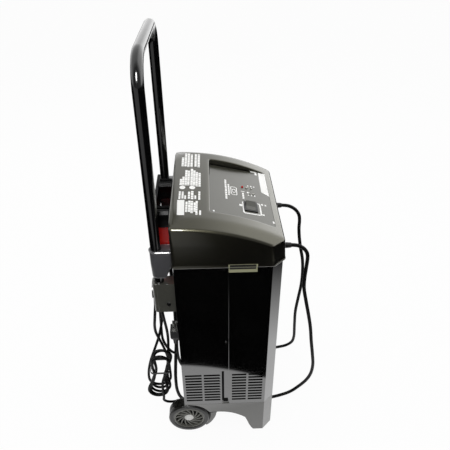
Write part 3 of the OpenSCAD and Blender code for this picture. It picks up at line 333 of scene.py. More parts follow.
@dataclass(frozen=True)
class Finish:
    """One procedural finish: two tones, a relief from how it was made, gloss and its spread."""

    name: str
    tone: str
    second: str
    rough: float
    spread: float = 0.05
    grain: Grain = Grain.SPARK
    grain_mm: float = 0.9
    relief_mm: float = 0.01
    mottle_mm: float = 60.0
    metallic: float = 0.0
    ior: float = 1.5
    coat: float = 0.0
    coat_rough: float = 0.03
    coat_ior: float = 1.5
    transmission: float = 0.0
    glow: float = 0.0
    tint: str = "#ffffff"
    along: Vec = (1.0, 1.0, 1.0)

    def material(self) -> bpy.types.Material:
        """The finish as a node material, made once."""
        found = bpy.data.materials.get(self.name)
        if found:
            return found
        made = bpy.data.materials.new(self.name)
        put = emptied(made)
        spot = put("TexCoord").outputs["Object"]
        where = put("Mapping", {"Scale": self.along}, {"Vector": spot})
        patch = put("TexNoise", {"Scale": 1 / MM / self.mottle_mm, "Detail": 3.0}, {"Vector": spot})
        spots = put("MapRange", span(0.35, 0.65), {"Value": patch})
        tones = put("Mix", {"data_type": "RGBA", 6: linear(self.tone), 7: linear(self.second)},
                    {0: spots})
        low, high = self.rough - self.spread, self.rough + self.spread
        sheen = put("MapRange", span(0, 1, low, high), {"Value": patch})
        pitch = 1 / MM / self.grain_mm
        if self.grain is Grain.SHEETS:  # a wave of scale 1 has 20 bands to the metre
            relief = put("TexWave", {"wave_type": "BANDS", "bands_direction": "X", "Scale": pitch / 20},
                         {"Vector": where})
        else:
            relief = put("TexNoise", {"Scale": pitch, "Detail": 2.0}, {"Vector": where})
        bump = put("Bump", {"Distance": self.relief_mm * MM, "Strength": 1.0},
                   {"Height": relief.outputs["Fac"]})
        skin = put("BsdfPrincipled", {
            "Metallic": self.metallic, "IOR": self.ior, "Coat Weight": self.coat,
            "Coat Roughness": self.coat_rough, "Coat IOR": self.coat_ior,
            "Transmission Weight": self.transmission, "Emission Color": linear(self.tone),
            "Emission Strength": self.glow, "Specular Tint": linear(self.tint),
        }, {"Base Color": tones.outputs[2], "Roughness": sheen, "Normal": bump})
        put("OutputMaterial", None, {"Surface": skin})
        return made

    def dress(self, piece: Piece, slot: str | None = None) -> Piece:
        """Gives a piece this finish."""
        piece.data.materials.clear()
        piece.data.materials.append(self.material())
        return piece

    def form(self, node: str, slot: str, bevel: float = 0.0, cuts: int = 3) -> Piece:
        """A rolled copy of a CAD node in this finish."""
        return self.dress(merged_copy(node, bevel, cuts), slot)

    def dress_nodes(self, *nodes: str) -> None:
        """Gives this finish to CAD nodes as they are."""
        for node in nodes:
            self.dress(frame["nodes"][node])


# Powder coat over sheet steel, baked glossy: black with a mirror-like coat and a faint orange peel
ENAMEL = Finish("black_gloss_enamel", "#060606", "#090909", 0.08, 0.02, Grain.PEEL, 3.2, 0.003, ior=1.6,
                coat=1.0, coat_rough=0.02, coat_ior=2.0)
# The same coat on drawn tube, a little softer
TUBE_COAT = Finish("black_tube_coat", "#060607", "#09090a", 0.2, 0.04, Grain.PEEL, 2.4, 0.004, ior=1.4,
                   coat=1.0, coat_rough=0.05, coat_ior=1.6)
# Moulded ABS, nearly black in itself: its gloss has an olive cast under a thin sharper skin
CONSOLE_ABS = Finish("console_abs", "#09090b", "#070709", 0.3, 0.04, Grain.SPARK, 1.1, 0.006, ior=1.72,
                     coat=1.0, coat_rough=0.1, coat_ior=1.55, tint="#f2edc4")
# The cups take the console's plastic painted lighter: painted light on their faces
CUP_ABS_PAINTED_LIGHT = Finish("cup_abs_painted_light", "#4d4d51", "#464649", 0.3, grain_mm=1.1, relief_mm=0.008, ior=1.6, coat=1.0,
                 coat_rough=0.1)
BASE_ABS = Finish("base_abs", "#2d2c24", "#282820", 0.34, grain_mm=1.1, relief_mm=0.008, ior=1.55,
                  coat=1.0, coat_rough=0.2, coat_ior=1.6)
# The brackets take the base's plastic painted lighter: painted light on their faces
BRACKET_ABS_PAINTED_LIGHT = Finish("bracket_abs_painted_light", "#46463f", "#3f3f39", 0.3, grain_mm=1.1, relief_mm=0.008, ior=1.7,
                     coat=1.0, coat_rough=0.12)
# Printed polycarbonate overlay: fine satin texture
OVERLAY = Finish("printed_overlay", "#2a2a23", "#262620", 0.34, 0.03, Grain.SPARK, 0.7, 0.004, ior=1.6,
                 coat=1.0, coat_rough=0.22, coat_ior=1.7, tint="#f6f3dc")
# Matt screen ink and paper
INK = Finish("white_ink", "#fcfcfa", "#f6f6f3", 0.45, 0.04, Grain.SPARK, 0.5, 0.004)
CREAM_LABEL = Finish("cream_label", "#a9a986", "#9c9c7b", 0.5, grain_mm=0.6, relief_mm=0.004)
LABEL_DARK = Finish("label_dark", "#15150f", "#1a1a13", 0.5, grain_mm=0.6, relief_mm=0.004)
# Nylon, vinyl and PVC mouldings with soft broad lights; the cords' jackets stay a dull deep black
SWITCH_NYLON = Finish("switch_nylon", "#0d0d0d", "#121212", 0.3, grain_mm=0.5)
ROCKER_NYLON = Finish("rocker_nylon", "#4a4a44", "#44443e", 0.25, 0.05, Grain.SMOOTH, 0.6, 0.006)
CLAMP_RED = Finish("red_clamp_vinyl", "#d8160f", "#c4130d", 0.3)
CLAMP_BLACK = Finish("black_clamp_vinyl", "#0b0b0b", "#101010", 0.26)
PVC_BLACK = Finish("black_pvc", "#0c0c0c", "#111111", 0.38, 0.06, Grain.SMOOTH, 1.2, 0.02)
LEAD_JACKET = Finish("lead_jacket", "#010101", "#030303", 0.45, 0.06, Grain.SMOOTH, 2.0, 0.03, ior=1.25)
CORD_JACKET = Finish("cord_jacket_pvc", "#010101", "#030303", 0.46, 0.07, Grain.SMOOTH, 1.6, 0.03,
                     ior=1.25)
# Polyethylene and polypropylene: waxy, with a grain that breaks up the lights
TYRE = Finish("tyre_polyethylene", "#0f0f0b", "#0b0b08", 0.3, 0.06, Grain.SPARK, 1.4, 0.02, coat=0.15,
              coat_rough=0.12)
HUB = Finish("hub_polypropylene", "#6e6e68", "#65655f", 0.34, relief_mm=0.02)
# Painted shade: a near-black that swallows light, put in slots and gaps so that they read as openings
SHADE_BLACK = Finish("painted_shade_black", "#020202", "#040403", 0.6, relief_mm=0.02, ior=1.15)
# A pale glossy cap, and the thin black coat of the clamps' jaws and tabs
CAP = Finish("hub_cap_abs", "#e9e9e6", "#dededa", 0.3, 0.05, Grain.SMOOTH, 1.2)
JAW_COAT = Finish("jaw_coat", "#040404", "#060606", 0.3, 0.05, Grain.PEEL, 2.0, 0.004, ior=1.2)
# Metals: plated and drawn ones show fine lines, the core its stacked sheets
ZINC = Finish("zinc_plated_steel", "#b4b6b8", "#9da0a3", 0.32, 0.08, Grain.BRUSHED, 0.6, metallic=1.0,
              along=(1.0, 0.06, 1.0))
BLACK_ZINC = Finish("black_zinc_screw", "#0c0c0c", "#121212", 0.2, 0.05, Grain.SMOOTH, 0.6, 0.004,
                    ior=1.8)
SPRING_WIRE = Finish("spring_steel", "#8d8f92", "#75777a", 0.3, 0.06, Grain.BRUSHED, 0.5, metallic=1.0)
LAMINATION = Finish("core_laminations", "#55565a", "#45464a", 0.45, 0.08, Grain.SHEETS, 2.0, 0.08,
                    metallic=1.0, along=(0.0, 1.0, 0.0))
WINDING = Finish("enamelled_copper", "#8a4a22", "#74401f", 0.3, 0.06, Grain.SMOOTH, 2.0, 0.02,
                 metallic=1.0)
JAW_STEEL = Finish("blackened_jaw_steel", "#141413", "#0f0f0f", 0.4, 0.08, Grain.BRUSHED, 0.5,
                   metallic=1.0)
NICKEL = Finish("nickel_blade", "#b9b9b4", "#a9a9a4", 0.26, 0.05, Grain.BRUSHED, 0.5, 0.008,
                metallic=1.0, along=(1.0, 1.0, 0.08))
FINS = Finish("extruded_aluminium", "#c4c6c9", "#b3b5b8", 0.34, 0.06, Grain.BRUSHED, 0.6, metallic=1.0,
              along=(1.0, 1.0, 0.05))
# Green solder mask, and acrylic lenses: one red that glows a little, the others clear
BOARD = Finish("board_mask", "#1c5a33", "#174e2c", 0.35, 0.04, Grain.SMOOTH, 1.5)
RED_LENS = Finish("red_lens_acrylic", "#c8160f", "#b8130d", 0.12, 0.02, Grain.SMOOTH, 3.0, 0.002,
                  transmission=0.25, glow=0.12)
CLEAR_LENS = Finish("clear_lens_acrylic", "#d9d9d2", "#cfcfc8", 0.14, 0.03, Grain.SMOOTH, 3.0, 0.002,
                    transmission=0.45)


# ------------------------------------------------------------------ camera, light and floor
@dataclass
class Studio:
    """Camera, three area lamps, pale surroundings and a white sheet as the floor.

    Gloss sees the sheet only in places, all in metres on the floor: beyond a bowed edge in front of
    the near side, ahead of the object, and faintly in a pool far out, which lights the cover's side.
    """

    camera_mm: Vec = (-904.9, 19.7, 1172.9)
    yaw: float = 1.85
    pitch: float = 34.69
    roll: float = 0.38
    lens: float = 38.656
    sensor: float = 36.0
    floor_half: float = 9.0
    floor_z: float = -2e-4
    edge_x: Pair = (-0.365, -0.357)  # the sheet's near edge fades in over these X, at Y 0
    edge_lean: float = 0.22
    edge_bow: float = 0.775
    ahead_y: Pair = (-0.26, -0.3)
    ahead_x: Pair = (-0.8, -0.65)
    ends_y: Pair = (0.82, 0.4)
    pool_x: Pair = (-0.88, -1.02)
    pool_y: tuple[float, ...] = (-0.01, 0.13, 0.0, 0.4)
    sky_z: tuple[float, ...] = (0.12, 0.55, 1.05, 0.8)  # gloss sees less light high up,
    sky_y: tuple[float, ...] = (-0.1, -0.5, 0.0, 0.95)  # more to the front
    sky_x: tuple[float, ...] = (-0.55, -0.12, 0.12, 1.0)  # and less towards the viewer
    fill: float = 0.55

    def camera(self) -> None:
        """Sets the scene's camera: it looks along +X, turned yaw towards -Y and pitch down."""
        yaw, pitch, roll = (math.radians(a) for a in (self.yaw, self.pitch, self.roll))
        level = math.cos(pitch)
        ahead = np.array([math.cos(yaw) * level, -math.sin(yaw) * level, -math.sin(pitch)])
        right = np.array([-math.sin(yaw), -math.cos(yaw), 0.0])
        down = np.cross(ahead, right)
        down = -down if down[2] > 0 else down
        across = math.cos(roll) * right + math.sin(roll) * down
        fall = -math.sin(roll) * right + math.cos(roll) * down
        data = bpy.data.cameras.new("camera")
        data.lens, data.sensor_width, data.sensor_fit = self.lens, self.sensor, "HORIZONTAL"
        data.clip_start, data.clip_end = 0.02, 60.0
        axes = np.column_stack([across, -fall, -ahead, place(np.array(self.camera_mm))])
        bpy.context.scene.camera = link("camera", data, axes)

    def softbox(self, name: str, at: Vec, aim: Vec, size: Pair, watts: float,
                glint: bool = False) -> None:
        """Adds one rectangular area lamp at a point, aimed at another. Only gloss sees a glint, and
        gloss does not see the others."""
        data = bpy.data.lights.new(name, "AREA")
        data.shape, data.size, data.size_y, data.energy = "RECTANGLE", size[0], size[1], watts
        back = np.array(at) - np.array(aim)
        back = back / np.linalg.norm(back)
        side = np.cross([0.0, 1.0, 0.0], back)
        side /= np.linalg.norm(side)
        lamp = link(name, data, np.column_stack([side, np.cross(back, side), back, at]))
        lamp.visible_glossy, lamp.visible_diffuse = glint, not glint

    def world(self) -> None:
        """Surroundings: white to the eye, softly graded in gloss, a plain grey level as light."""
        bpy.context.scene.world = bpy.data.worlds.new("studio")
        put = emptied(bpy.context.scene.world)
        ray = put("LightPath").outputs
        seen = put("Math", {"operation": "MAXIMUM"},
                   {0: ray["Is Camera Ray"], 1: ray["Is Transmission Ray"]})
        light, white = (put("Background", {"Color": WHITE, "Strength": k}) for k in (self.fill, 1.0))
        way = put("SeparateXYZ", None, {0: put("TexCoord").outputs["Generated"]}).outputs
        low, front, behind = (
            put("MapRange", span(*reach), {"Value": way[axis]})
            for reach, axis in ((self.sky_z, "Z"), (self.sky_y, "Y"), (self.sky_x, "X")))
        level = put("Math", {"operation": "ADD"}, {0: low, 1: front})
        graded = put("Math", {"operation": "MULTIPLY"}, {0: level, 1: behind})
        gloss = put("Background", {"Color": WHITE}, {"Strength": graded})
        soft = put("MixShader", None, {0: ray["Is Glossy Ray"], 1: light, 2: gloss})
        put("OutputWorld", None, {"Surface": put("MixShader", None, {0: seen, 1: soft, 2: white})})

    def shine(self, put: Callable[..., Node]) -> Node:
        """How much of the sheet gloss sees at a place: beyond the edge x + lean y - (bow y) squared
        or ahead, between the ends, or in the pool."""
        axes = put("SeparateXYZ", None, {0: put("TexCoord").outputs["Object"]}).outputs
        x, y, times, most = axes["X"], axes["Y"], {"operation": "MULTIPLY"}, {"operation": "MAXIMUM"}
        bend = put("Math", {**times, 1: self.edge_bow}, {0: y})
        lean = put("Math", {"operation": "MULTIPLY_ADD", 1: self.edge_lean}, {0: y, 2: x})
        bow = put("Math", times, {0: bend, 1: bend})
        line = put("Math", {"operation": "SUBTRACT"}, {0: lean, 1: bow})
        wide = put("Math", {"operation": "ABSOLUTE"}, {0: y})
        beyond, front, close, ends, away, rear = (
            put("MapRange", span(*reach), {"Value": value})
            for reach, value in ((self.edge_x, line), (self.ahead_y, y), (self.ahead_x, x),
                                 (self.ends_y, wide), (self.pool_x, x), (self.pool_y, y)))
        sheet = put("Math", most, {0: beyond, 1: put("Math", times, {0: front, 1: close})})
        sheet = put("Math", times, {0: sheet, 1: ends})
        return put("Math", most, {0: sheet, 1: put("Math", times, {0: away, 1: rear})})

    def floor(self) -> None:
        """The white sheet: nearly even white to the eye, with the object's shadow, and light that
        gloss sees where shine says."""
        h, z = self.floor_half, self.floor_z
        mesh = bpy.data.meshes.new("floor")
        mesh.from_pydata([(-h, -h, z), (h, -h, z), (h, h, z), (-h, h, z)], [], [[0, 1, 2, 3]])
        made = bpy.data.materials.new("white_sheet")
        put = emptied(made)
        ray = put("LightPath").outputs
        plain = put("BsdfDiffuse", {"Color": (0.9, 0.9, 0.9, 1.0)})
        glow = put("Emission", {"Color": WHITE, "Strength": 1.0})
        shine = put("Emission", {"Color": WHITE}, {"Strength": self.shine(put)})
        seen = put("MixShader", {0: 0.95}, {1: plain, 2: glow})
        gloss = put("MixShader", None, {0: ray["Is Glossy Ray"], 1: plain, 2: shine})
        both = put("MixShader", None, {0: ray["Is Camera Ray"], 1: gloss, 2: seen})
        put("OutputMaterial", None, {"Surface": both})
        mesh.materials.append(made)
        link("floor", mesh)

    def build(self) -> None:
        """Puts up the whole studio."""
        self.camera()
        self.world()
        self.floor()
        self.softbox("overhead", (-0.45, 0.35, 2.5), (0.0, 0.0, 0.5), (1.7, 1.1), 16.0)
        self.softbox("beyond", (1.75, 0.1, 2.25), (0.0, 0.0, 0.75), (1.1, 0.8), 14.0)
        self.softbox("edge_strip", (-1.15, 0.25, 1.5), (-0.165, 0.06, 0.63), (0.5, 0.36), 14.0, True)
        bpy.context.scene.view_settings.view_transform = "Standard"


# ------------------------------------------------------------------ leads and mains cord
@dataclass
class Cords:
    """Two output leads and the mains cord, each one tube along its whole route."""

    lead_d: float = 8.4
    cord_d: float = 6.5
    lead_exit: Vec = (80.0, -149.0, 545.0)
    mains_exit: Vec = (-112.0, 126.0, 60.0)
    clamp_y: float = 117.5
    lead_end_z: float = 568.0
    in_clamp: float = 24.0
    hank_x: float = -126.0
    first_fold: Vec = (176.3, 89.7, 20.0)  # the hank's circles are Y, Z and radius
    folds: list[Vec] = field(default_factory=lambda: [
        (168, 119.5, 24), (168.2, 110, 21), (163.8, 115, 24.5), (165, 117, 21)])
    heads: list[Vec] = field(default_factory=lambda: [
        (153, 230, 20.6), (156, 224, 20.6), (149, 236, 20.6), (154, 228, 20.6)])
    waist: float = 9.0
    step: float = 8.0
    hook: Pair = (-98.0, 442.6)
    hook_r: float = 27.8

    def lead_routes(self) -> dict[str, Array]:
        """Routes of the two leads: out at the front, under the cabinet and up to the clamps."""
        x, y, z = self.lead_exit

        def turn(side: float, radius: float) -> list[list[float]]:
            """From level to straight down over a quarter of a circle."""
            bend = arc((y - 3, z - radius), radius, 90, 180, 5)
            return np.column_stack([np.full(6, side), bend]).tolist()

        left = [
            [-x, y, z], *turn(-x, 36), [-80, -187.6, 484], [-80, -186.6, 452], [-80, -188, 420],
            [-80, -196, 380], [-80, -206, 335], [-80, -215, 290], [-80, -222, 240], [-79, -230, 190],
            [-76, -236, 145], [-72, -235, 105], [-66, -227, 70], [-60, -211, 37], [-60, -188, 13],
            [-64, -162, 5], [-72, -125, 5], [-76, -60, 5], [-74, 0, 5], [-74, 60, 5], [-76, 92, 8],
            [-79, 114, 26], [-81, 124, 58], [-82, 126, 110], [-80, 122, 180], [-74, 116, 260],
            [-69, 114, 340], [-68, 114, 420], [-70, 115, 485]]
        right = [
            [x, y, z], *turn(x, 45), [80, -197.6, 476], [80, -200.5, 450], [80, -206.5, 415],
            [80, -215, 375], [80, -219, 330], [80, -219, 285], [81, -215, 235], [84, -212, 183],
            [90, -215, 122], [98, -219, 70], [102.6, -219.5, 52], [105, -218.6, 40], [108, -215.6, 27],
            [110.2, -207.6, 15.6], [110.8, -195.5, 7.9], [109.8, -181, 5], [106, -160, 5],
            [96, -125, 5], [84, -70, 5], [66, 0, 5], [46, 60, 5], [36, 92, 8], [30, 114, 26],
            [28, 125, 58], [28, 128, 110], [28, 122, 190], [28, 116, 280], [28, 115, 380],
            [28, 117, 470]]
        ends = {"positive_lead": (left, -82.0), "negative_lead": (right, 28.0)}
        return {name: np.array(route + [[at, self.clamp_y, self.lead_end_z - self.in_clamp],
                                        [at, self.clamp_y, self.lead_end_z]], float)
                for name, (route, at) in ends.items()}

    def hank(self) -> Array:
        """The hank: the cord runs from circle to circle, head and foot in turn, along their common
        tangents, and round each on its arc. A run draws in at the waist by w sin squared, and a run
        that falls moves one step further along X."""
        circles = [np.array(self.first_fold)]
        for head, fold in zip(self.heads, self.folds):
            circles += [np.array(head), np.array(fold)]
        normals = []
        for p, q in zip(circles[:-1], circles[1:]):
            way = q[:2] - p[:2]
            cross = math.asin((p[2] - q[2]) / np.linalg.norm(way))
            normals.append(math.atan2(way[1], way[0]) + math.pi / 2 - cross)
        normals.append(math.pi)
        s, points, x = (np.arange(9) / 9)[:, None], [], self.hank_x
        for k, (p, q) in enumerate(zip(circles[:-1], circles[1:])):
            out = np.array([math.cos(normals[k]), math.sin(normals[k])])
            a, b = p[:2] + p[2] * out, q[:2] + q[2] * out
            run = a + (b - a) * s - out * self.waist * np.sin(np.pi * s) ** 2
            falls = k % 2
            swing = s[:, 0] * self.step * falls
            if k == 0:  # the first run eases out of the lead-in
                swing = swing + 3 * np.maximum(0, 1 - 4 * s[:, 0]) ** 2
            points.append(np.column_stack([x + swing, run]))
            x += self.step * falls
            turn = (normals[k] - normals[k + 1]) % (2 * math.pi)
            bend = arc(q[:2], q[2], *np.degrees([normals[k], normals[k] - turn]), 9)[:-1]
            points.append(np.column_stack([np.full(9, x), bend]))
        last = circles[-1]
        points.append(np.array([[x, last[0] - last[2], last[1]], [x, last[0] - last[2], last[1] + 14]]))
        return np.vstack(points)

    def over_hook(self, y0: float, y1: float) -> list[list[float]]:
        """Half a turn over the cord hook, from one depth to another."""
        bend = arc(self.hook, self.hook_r, 180, 0, 8)
        return np.column_stack([bend[:, 0], np.linspace(y0, y1, 9), bend[:, 1]]).tolist()

    def mains_route(self) -> Array:
        """Out of the base, up into the hank, twice over the hook and on to the plug."""
        rise = arc((129, 88), 28, -90, 9, 7)[:-1]
        ease = (np.arange(1, 8) / 8) ** 2 * (3 - np.arange(1, 8) / 4)
        lead_in = [[*self.mains_exit], *np.column_stack([-112 - 11 * ease, rise]).tolist()]
        near, far = self.hook[0] - self.hook_r, self.hook[0] + self.hook_r
        fold = np.column_stack([np.linspace(-84, -80, 11), arc((166.5, 122), 28, 0, -180, 10)]).tolist()
        side = arc((0, 0), 1.0, 0, 180, 8)
        turn = [-89, 132.25, 262] + side[:, [0, 0, 1]] * [21, 18.75, -28.15]
        rest = [
            [-94, 143.6, 160], [-94, 141, 190], [-94.5, 137.5, 225], [-97, 134, 262],
            [-103.5, 132, 300], [-113, 132, 337], [-121, 133.5, 370], [near + 0.4, 135, 398],
            [near, 136, 422], *self.over_hook(137, 139), [far, 139.5, 422], [-70.8, 140.5, 398],
            [-73, 142.5, 360], [-76, 147, 320], [-79.5, 157, 275], [-82.5, 171, 232], [-84, 184, 193],
            [-84.4, 192, 158], [-84.2, 194.4, 138], *fold, [-79.6, 138.7, 148], [-79.6, 139.5, 178],
            [-81, 143, 212], [-86.5, 149, 248], [-96, 155, 285], [-108, 158.5, 320],
            [-118.5, 157.5, 352], [near + 0.8, 154, 382], [near, 151, 408], [near, 149, 425],
            *self.over_hook(148, 146), [far, 146, 425], [-69.9, 146.6, 403], [-69.2, 148, 368],
            [-68.3, 149.8, 328], [-68, 150.8, 288], *turn, [-110, 113.5, 273], [-110, 113.5, 284]]
        return np.vstack([lead_in, self.hank(), rest])

    def jacket(self, name: str, route: Array, steps: int, diameter: float, finish: Finish,
               *nodes: str) -> tuple[Piece, Array]:
        """Sweeps the jacket along a route in place of CAD nodes, and gives it with its middle line."""
        path = np.vstack([route[:1], smooth(route[1:-1], steps), route[-1:]])
        piece = finish.dress(loft(name, tube_rings(path, diameter / 2, 16), crease=60.0), "cord_jacket")
        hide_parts(*nodes)
        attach(piece, BODY)
        return piece, path

    def declare(self, piece: Piece, path: Array, diameter: float, **laid: object) -> None:
        """Logs a jacket's length along its middle line."""
        place(path[0])
        run_length(path) * MM
        place(path)
        log.info("%s: %.0f mm", piece.name, run_length(path))

    def build(self) -> None:
        for name, route in self.lead_routes().items():
            lead = self.jacket(name + "_run", route, 6, self.lead_d, LEAD_JACKET, name)
            self.declare(*lead, self.lead_d, far_end="object", lay="loose")
        cord = self.jacket("mains_cord_run", self.mains_route(), 5, self.cord_d, CORD_JACKET,
                           "mains_cord_lead_in", "mains_cord_hank", "mains_cord")
        tie = PVC_BLACK.form("cord_tie", "black_plastic", 0.4)
        plug = PVC_BLACK.form("mains_plug", "black_plastic", 1.2)
        NICKEL.dress_nodes("plug_blades")
        self.declare(*cord, self.cord_d, far_end="plug", lay="coiled",
                     with_pieces=[tie, plug, frame["nodes"]["plug_blades"]])


# ------------------------------------------------------------------ console
@dataclass
class Console:
    """The moulded cover with its rolling top, the sunk bed, the two cups and the clamp tabs."""

    half_w: float = 165.0
    plate_w: float = 142.0
    rear_y: float = 103.0
    front_y: float = -124.5
    lip_y: float = -127.5
    side_y: float = -97.0
    foot_side_y: float = -103.0
    corner_r: tuple[float, ...] = (9.0, 9.0, 12.0, 9.0, 9.0, 12.0)
    flange: Vec = (0.5, 2.4, 3.2)  # its width, and the heights where it ends and the wall begins
    z0: float = 557.0
    top_z: float = 663.0
    crown: float = 13.0
    band: float = 23.0
    roll_drop: float = 56.5
    roll_power: float = 2.2
    bed_half: float = 112.0
    bed_back: Pair = (26.0, 644.75)
    bed_tilt: float = 12.97
    bed_len: float = 137.5
    bed_cut: float = 3.0
    bed_r: tuple[float, ...] = (6.0, 6.0, 3.5, 3.5, 3.5, 3.5)
    lip: Pair = (2.2, 0.45)  # the roll into the recess: its largest radius, and share of the depth
    ledge: float = 14.0
    ledge_r: float = 1.2
    edge_r: float = 4.5
    wall: float = 2.7
    cup_r: float = 13.15
    bore_r: float = 10.75
    leg_x: float = 141.5
    handle_y: float = 132.7
    cup_z: Vec = (524.0, 557.0, 592.0)
    cup_foot: Pair = (1.1, 17.0)  # at its foot: the wall, and the depth behind the leg

    def top(self, x: Array, y: Array) -> Array:
        """Height of the outer surface: z = top - drop s^power with s the share of the depth from the
        back, less a ramp crown/band per millimetre beyond the plate, rounded by a softplus."""
        s = np.maximum(0, self.rear_y - y) / (self.rear_y - self.front_y)
        soft = 2.5
        ramp = soft * np.logaddexp(0, (np.abs(x) - self.plate_w) / soft)
        return self.top_z - self.roll_drop * s**self.roll_power - ramp * self.crown / self.band

    def on_bed(self, points: Array) -> Array:
        """Bed coordinates, x, distance along the bed (0 at its back edge, negative to the front) and
        height above it, to the maker's frame."""
        p, a = np.asarray(points, float), math.radians(self.bed_tilt)
        return np.stack([p[..., 0], self.bed_back[0] + p[..., 1] * math.cos(a) - p[..., 2] * math.sin(a),
                         self.bed_back[1] + p[..., 1] * math.sin(a) + p[..., 2] * math.cos(a)], -1)

    def outline(self, front: float, side: float) -> Array:
        """Counterclockwise plan outline: back corners, then the cut corners at the front."""
        w, p, r = self.half_w, self.plate_w, self.rear_y
        corners = [[w, r], [-w, r], [-w, side], [-p, front], [p, front], [w, side]]
        return rounded(np.array(corners), np.array(self.corner_r), 6, 12)

    def cover(self) -> Piece:
        """The cover's outer skin as rings that climb the wall, roll over the edge, cross the top to
        the recess, turn down into it and end on a ledge; a solidify gives the wall."""
        foot = self.outline(self.lip_y, self.foot_side_y)
        brow = self.outline(self.front_y, self.side_y)
        m, (flare, low, high) = inward(brow), self.flange
        flared = foot - flare * inward(foot)
        rings = [lift(flared, self.z0), lift(flared, self.z0 + low), lift(foot, self.z0 + high)]
        rim_z = self.top(brow[:, 0], brow[:, 1])
        r = self.edge_r
        for s in (0.08, 0.3, 0.6, 1.0):
            rings.append(lift(foot + (brow - foot) * s, self.z0 + (rim_z - r - self.z0) * s))
        for a in np.radians([22.5, 45, 67.5, 90]):
            q = brow + m * r * (1 - math.cos(a))
            rings.append(lift(q, self.top(q[:, 0], q[:, 1]) - r * (1 - math.sin(a))))
        # the recess: its outline on the bed, and the same outline carried up to the top
        b, cut, far = self.bed_half, self.bed_cut, -self.bed_len
        corners = np.array([[b, 0], [-b, 0], [-b, far + cut], [-b + cut, far], [b - cut, far],
                            [b, far + cut]])
        bed = rounded(corners, np.array(self.bed_r), 6, 12)
        base = self.on_bed(lift(bed, 0.0))
        up = self.on_bed([0, 0, 1]) - self.on_bed([0, 0, 0])
        h = np.zeros(len(bed))
        for _ in range(4):
            p = base + up * h[:, None]
            h = h + (self.top(p[:, 0], p[:, 1]) - p[:, 2]) / up[2]
        rim = base + up * h[:, None]
        lip = np.minimum(self.lip[0], h * self.lip[1])[:, None]
        out = np.column_stack([-inward(bed), np.zeros(len(bed))])
        out = self.on_bed(out) - self.on_bed([0, 0, 0])
        inner = rim + out * lip
        outer = np.array(rings[-1])
        for s in np.linspace(0, 1, 15)[1:]:
            q = outer[:, :2] * (1 - s) + inner[:, :2] * s
            rings.append(lift(q, self.top(q[:, 0], q[:, 1])))
        for a in np.radians([30, 60, 90]):
            rings.append(rim + out * lip * (1 - math.sin(a)) - up * lip * (1 - math.cos(a)))
        w = self.ledge
        ledge = rounded(corners * [1 - w / b, 1 + 2 * w / far] - [0, w], self.ledge_r, 6, 12)
        rings += [base + up * 0.4, base - out * 0.4, self.on_bed(lift(ledge, 0.0))]
        piece = loft("console_cover_skin", np.array(rings), caps=False, crease=38.0, outward=False)
        wall = piece.modifiers.new("wall", "SOLIDIFY")
        wall.thickness, wall.offset = self.wall * MM, -1.0
        return piece

    def cup(self, name: str) -> Piece:
        """A cup round the handle's leg: a D outline lofted from its foot to its rim and back down
        the bore."""
        x, n = SIDES[name] * self.leg_x, 56

        def outline(r: float, back: float) -> Array:
            """Half a circle round the leg, then straight sides to a flat back."""
            bow = arc((x, self.handle_y), r, 0, 180, n // 2 - 1)
            fall = np.linspace(0, 1, n // 2 + 2)[1:-1]
            width = np.interp(fall, [0, 0.4, 0.6, 1], [-r, -r, r, r])
            depth = np.interp(fall, [0, 0.4, 0.6, 1], [self.handle_y, back, back, self.handle_y])
            return np.vstack([bow, np.column_stack([x + width, depth])])

        centre, (low, mid, high) = (x, self.handle_y), self.cup_z
        bore = np.vstack([arc(centre, self.bore_r, 0, 180, n // 2 - 1),
                          arc(centre, self.bore_r, 180, 360, n // 2 + 1)[1:-1]])
        r, back = self.cup_r, self.rear_y - 1
        r_low, low_back = self.bore_r + self.cup_foot[0], self.handle_y - self.cup_foot[1]
        rings = [lift(bore, low), lift(outline(r_low - 0.5, low_back + 0.6), low),
                 lift(outline(r_low, low_back), low + 1)]
        for s in np.linspace(0, 1, 9)[1:]:
            ring = outline(r_low + (r - r_low) * s, low_back + (back - low_back) * s)
            rings.append(lift(ring, low + (mid - low) * s))
        for z, swell in ((high - 4.4, 0.0), (high - 3.6, 0.9), (high - 3.2, 1.2), (high - 1.9, 1.3),
                         (high - 1.8, 1.22), (high - 0.3, 0.05), (high - 0.2, -0.05), (high, -0.5)):
            rings.append(lift(outline(r + swell, back), z))
        rings += [lift(bore + (bore - [x, self.handle_y]) * 0.05, high), lift(bore, high - 0.8)]
        return loft(f"handle_cup_{name}", np.array(rings), loop=True, crease=40.0)

    def tabs(self) -> Piece:
        """The two tabs that the clamps bite, with rounded edges."""
        places = ((102.0, 0.0), (124.8, 0.0), (131.0, 0.0), (132.0, 0.3))
        return pile("clamp_tabs", [stations(rounded(box(x - 3, 636, x + 3, 656), 1.2, 4, 2), places, 1)
                                   for x in (-100.0, 10.0)])

    def rail(self) -> Piece:
        """The rail that joins the tabs' ends: a rounded section along X that shrinks to domed ends,
        by 1 - sqrt(1 - s squared) of its half height."""
        section = rounded(box(131.4, 604, 138.6, 655), 3.2, 5, 3)
        places = [(x, 3.0 * (1 - math.sqrt(1 - s**2)))
                  for x, s in ((-122, 1.0), (-121.7, 0.7), (-120.6, 0.3), (-118.5, 0.0), (45.5, 0.0),
                               (47.6, 0.3), (48.7, 0.7), (49, 1.0))]
        return loft("clamp_rail", stations(section, places, 0), crease=50.0)

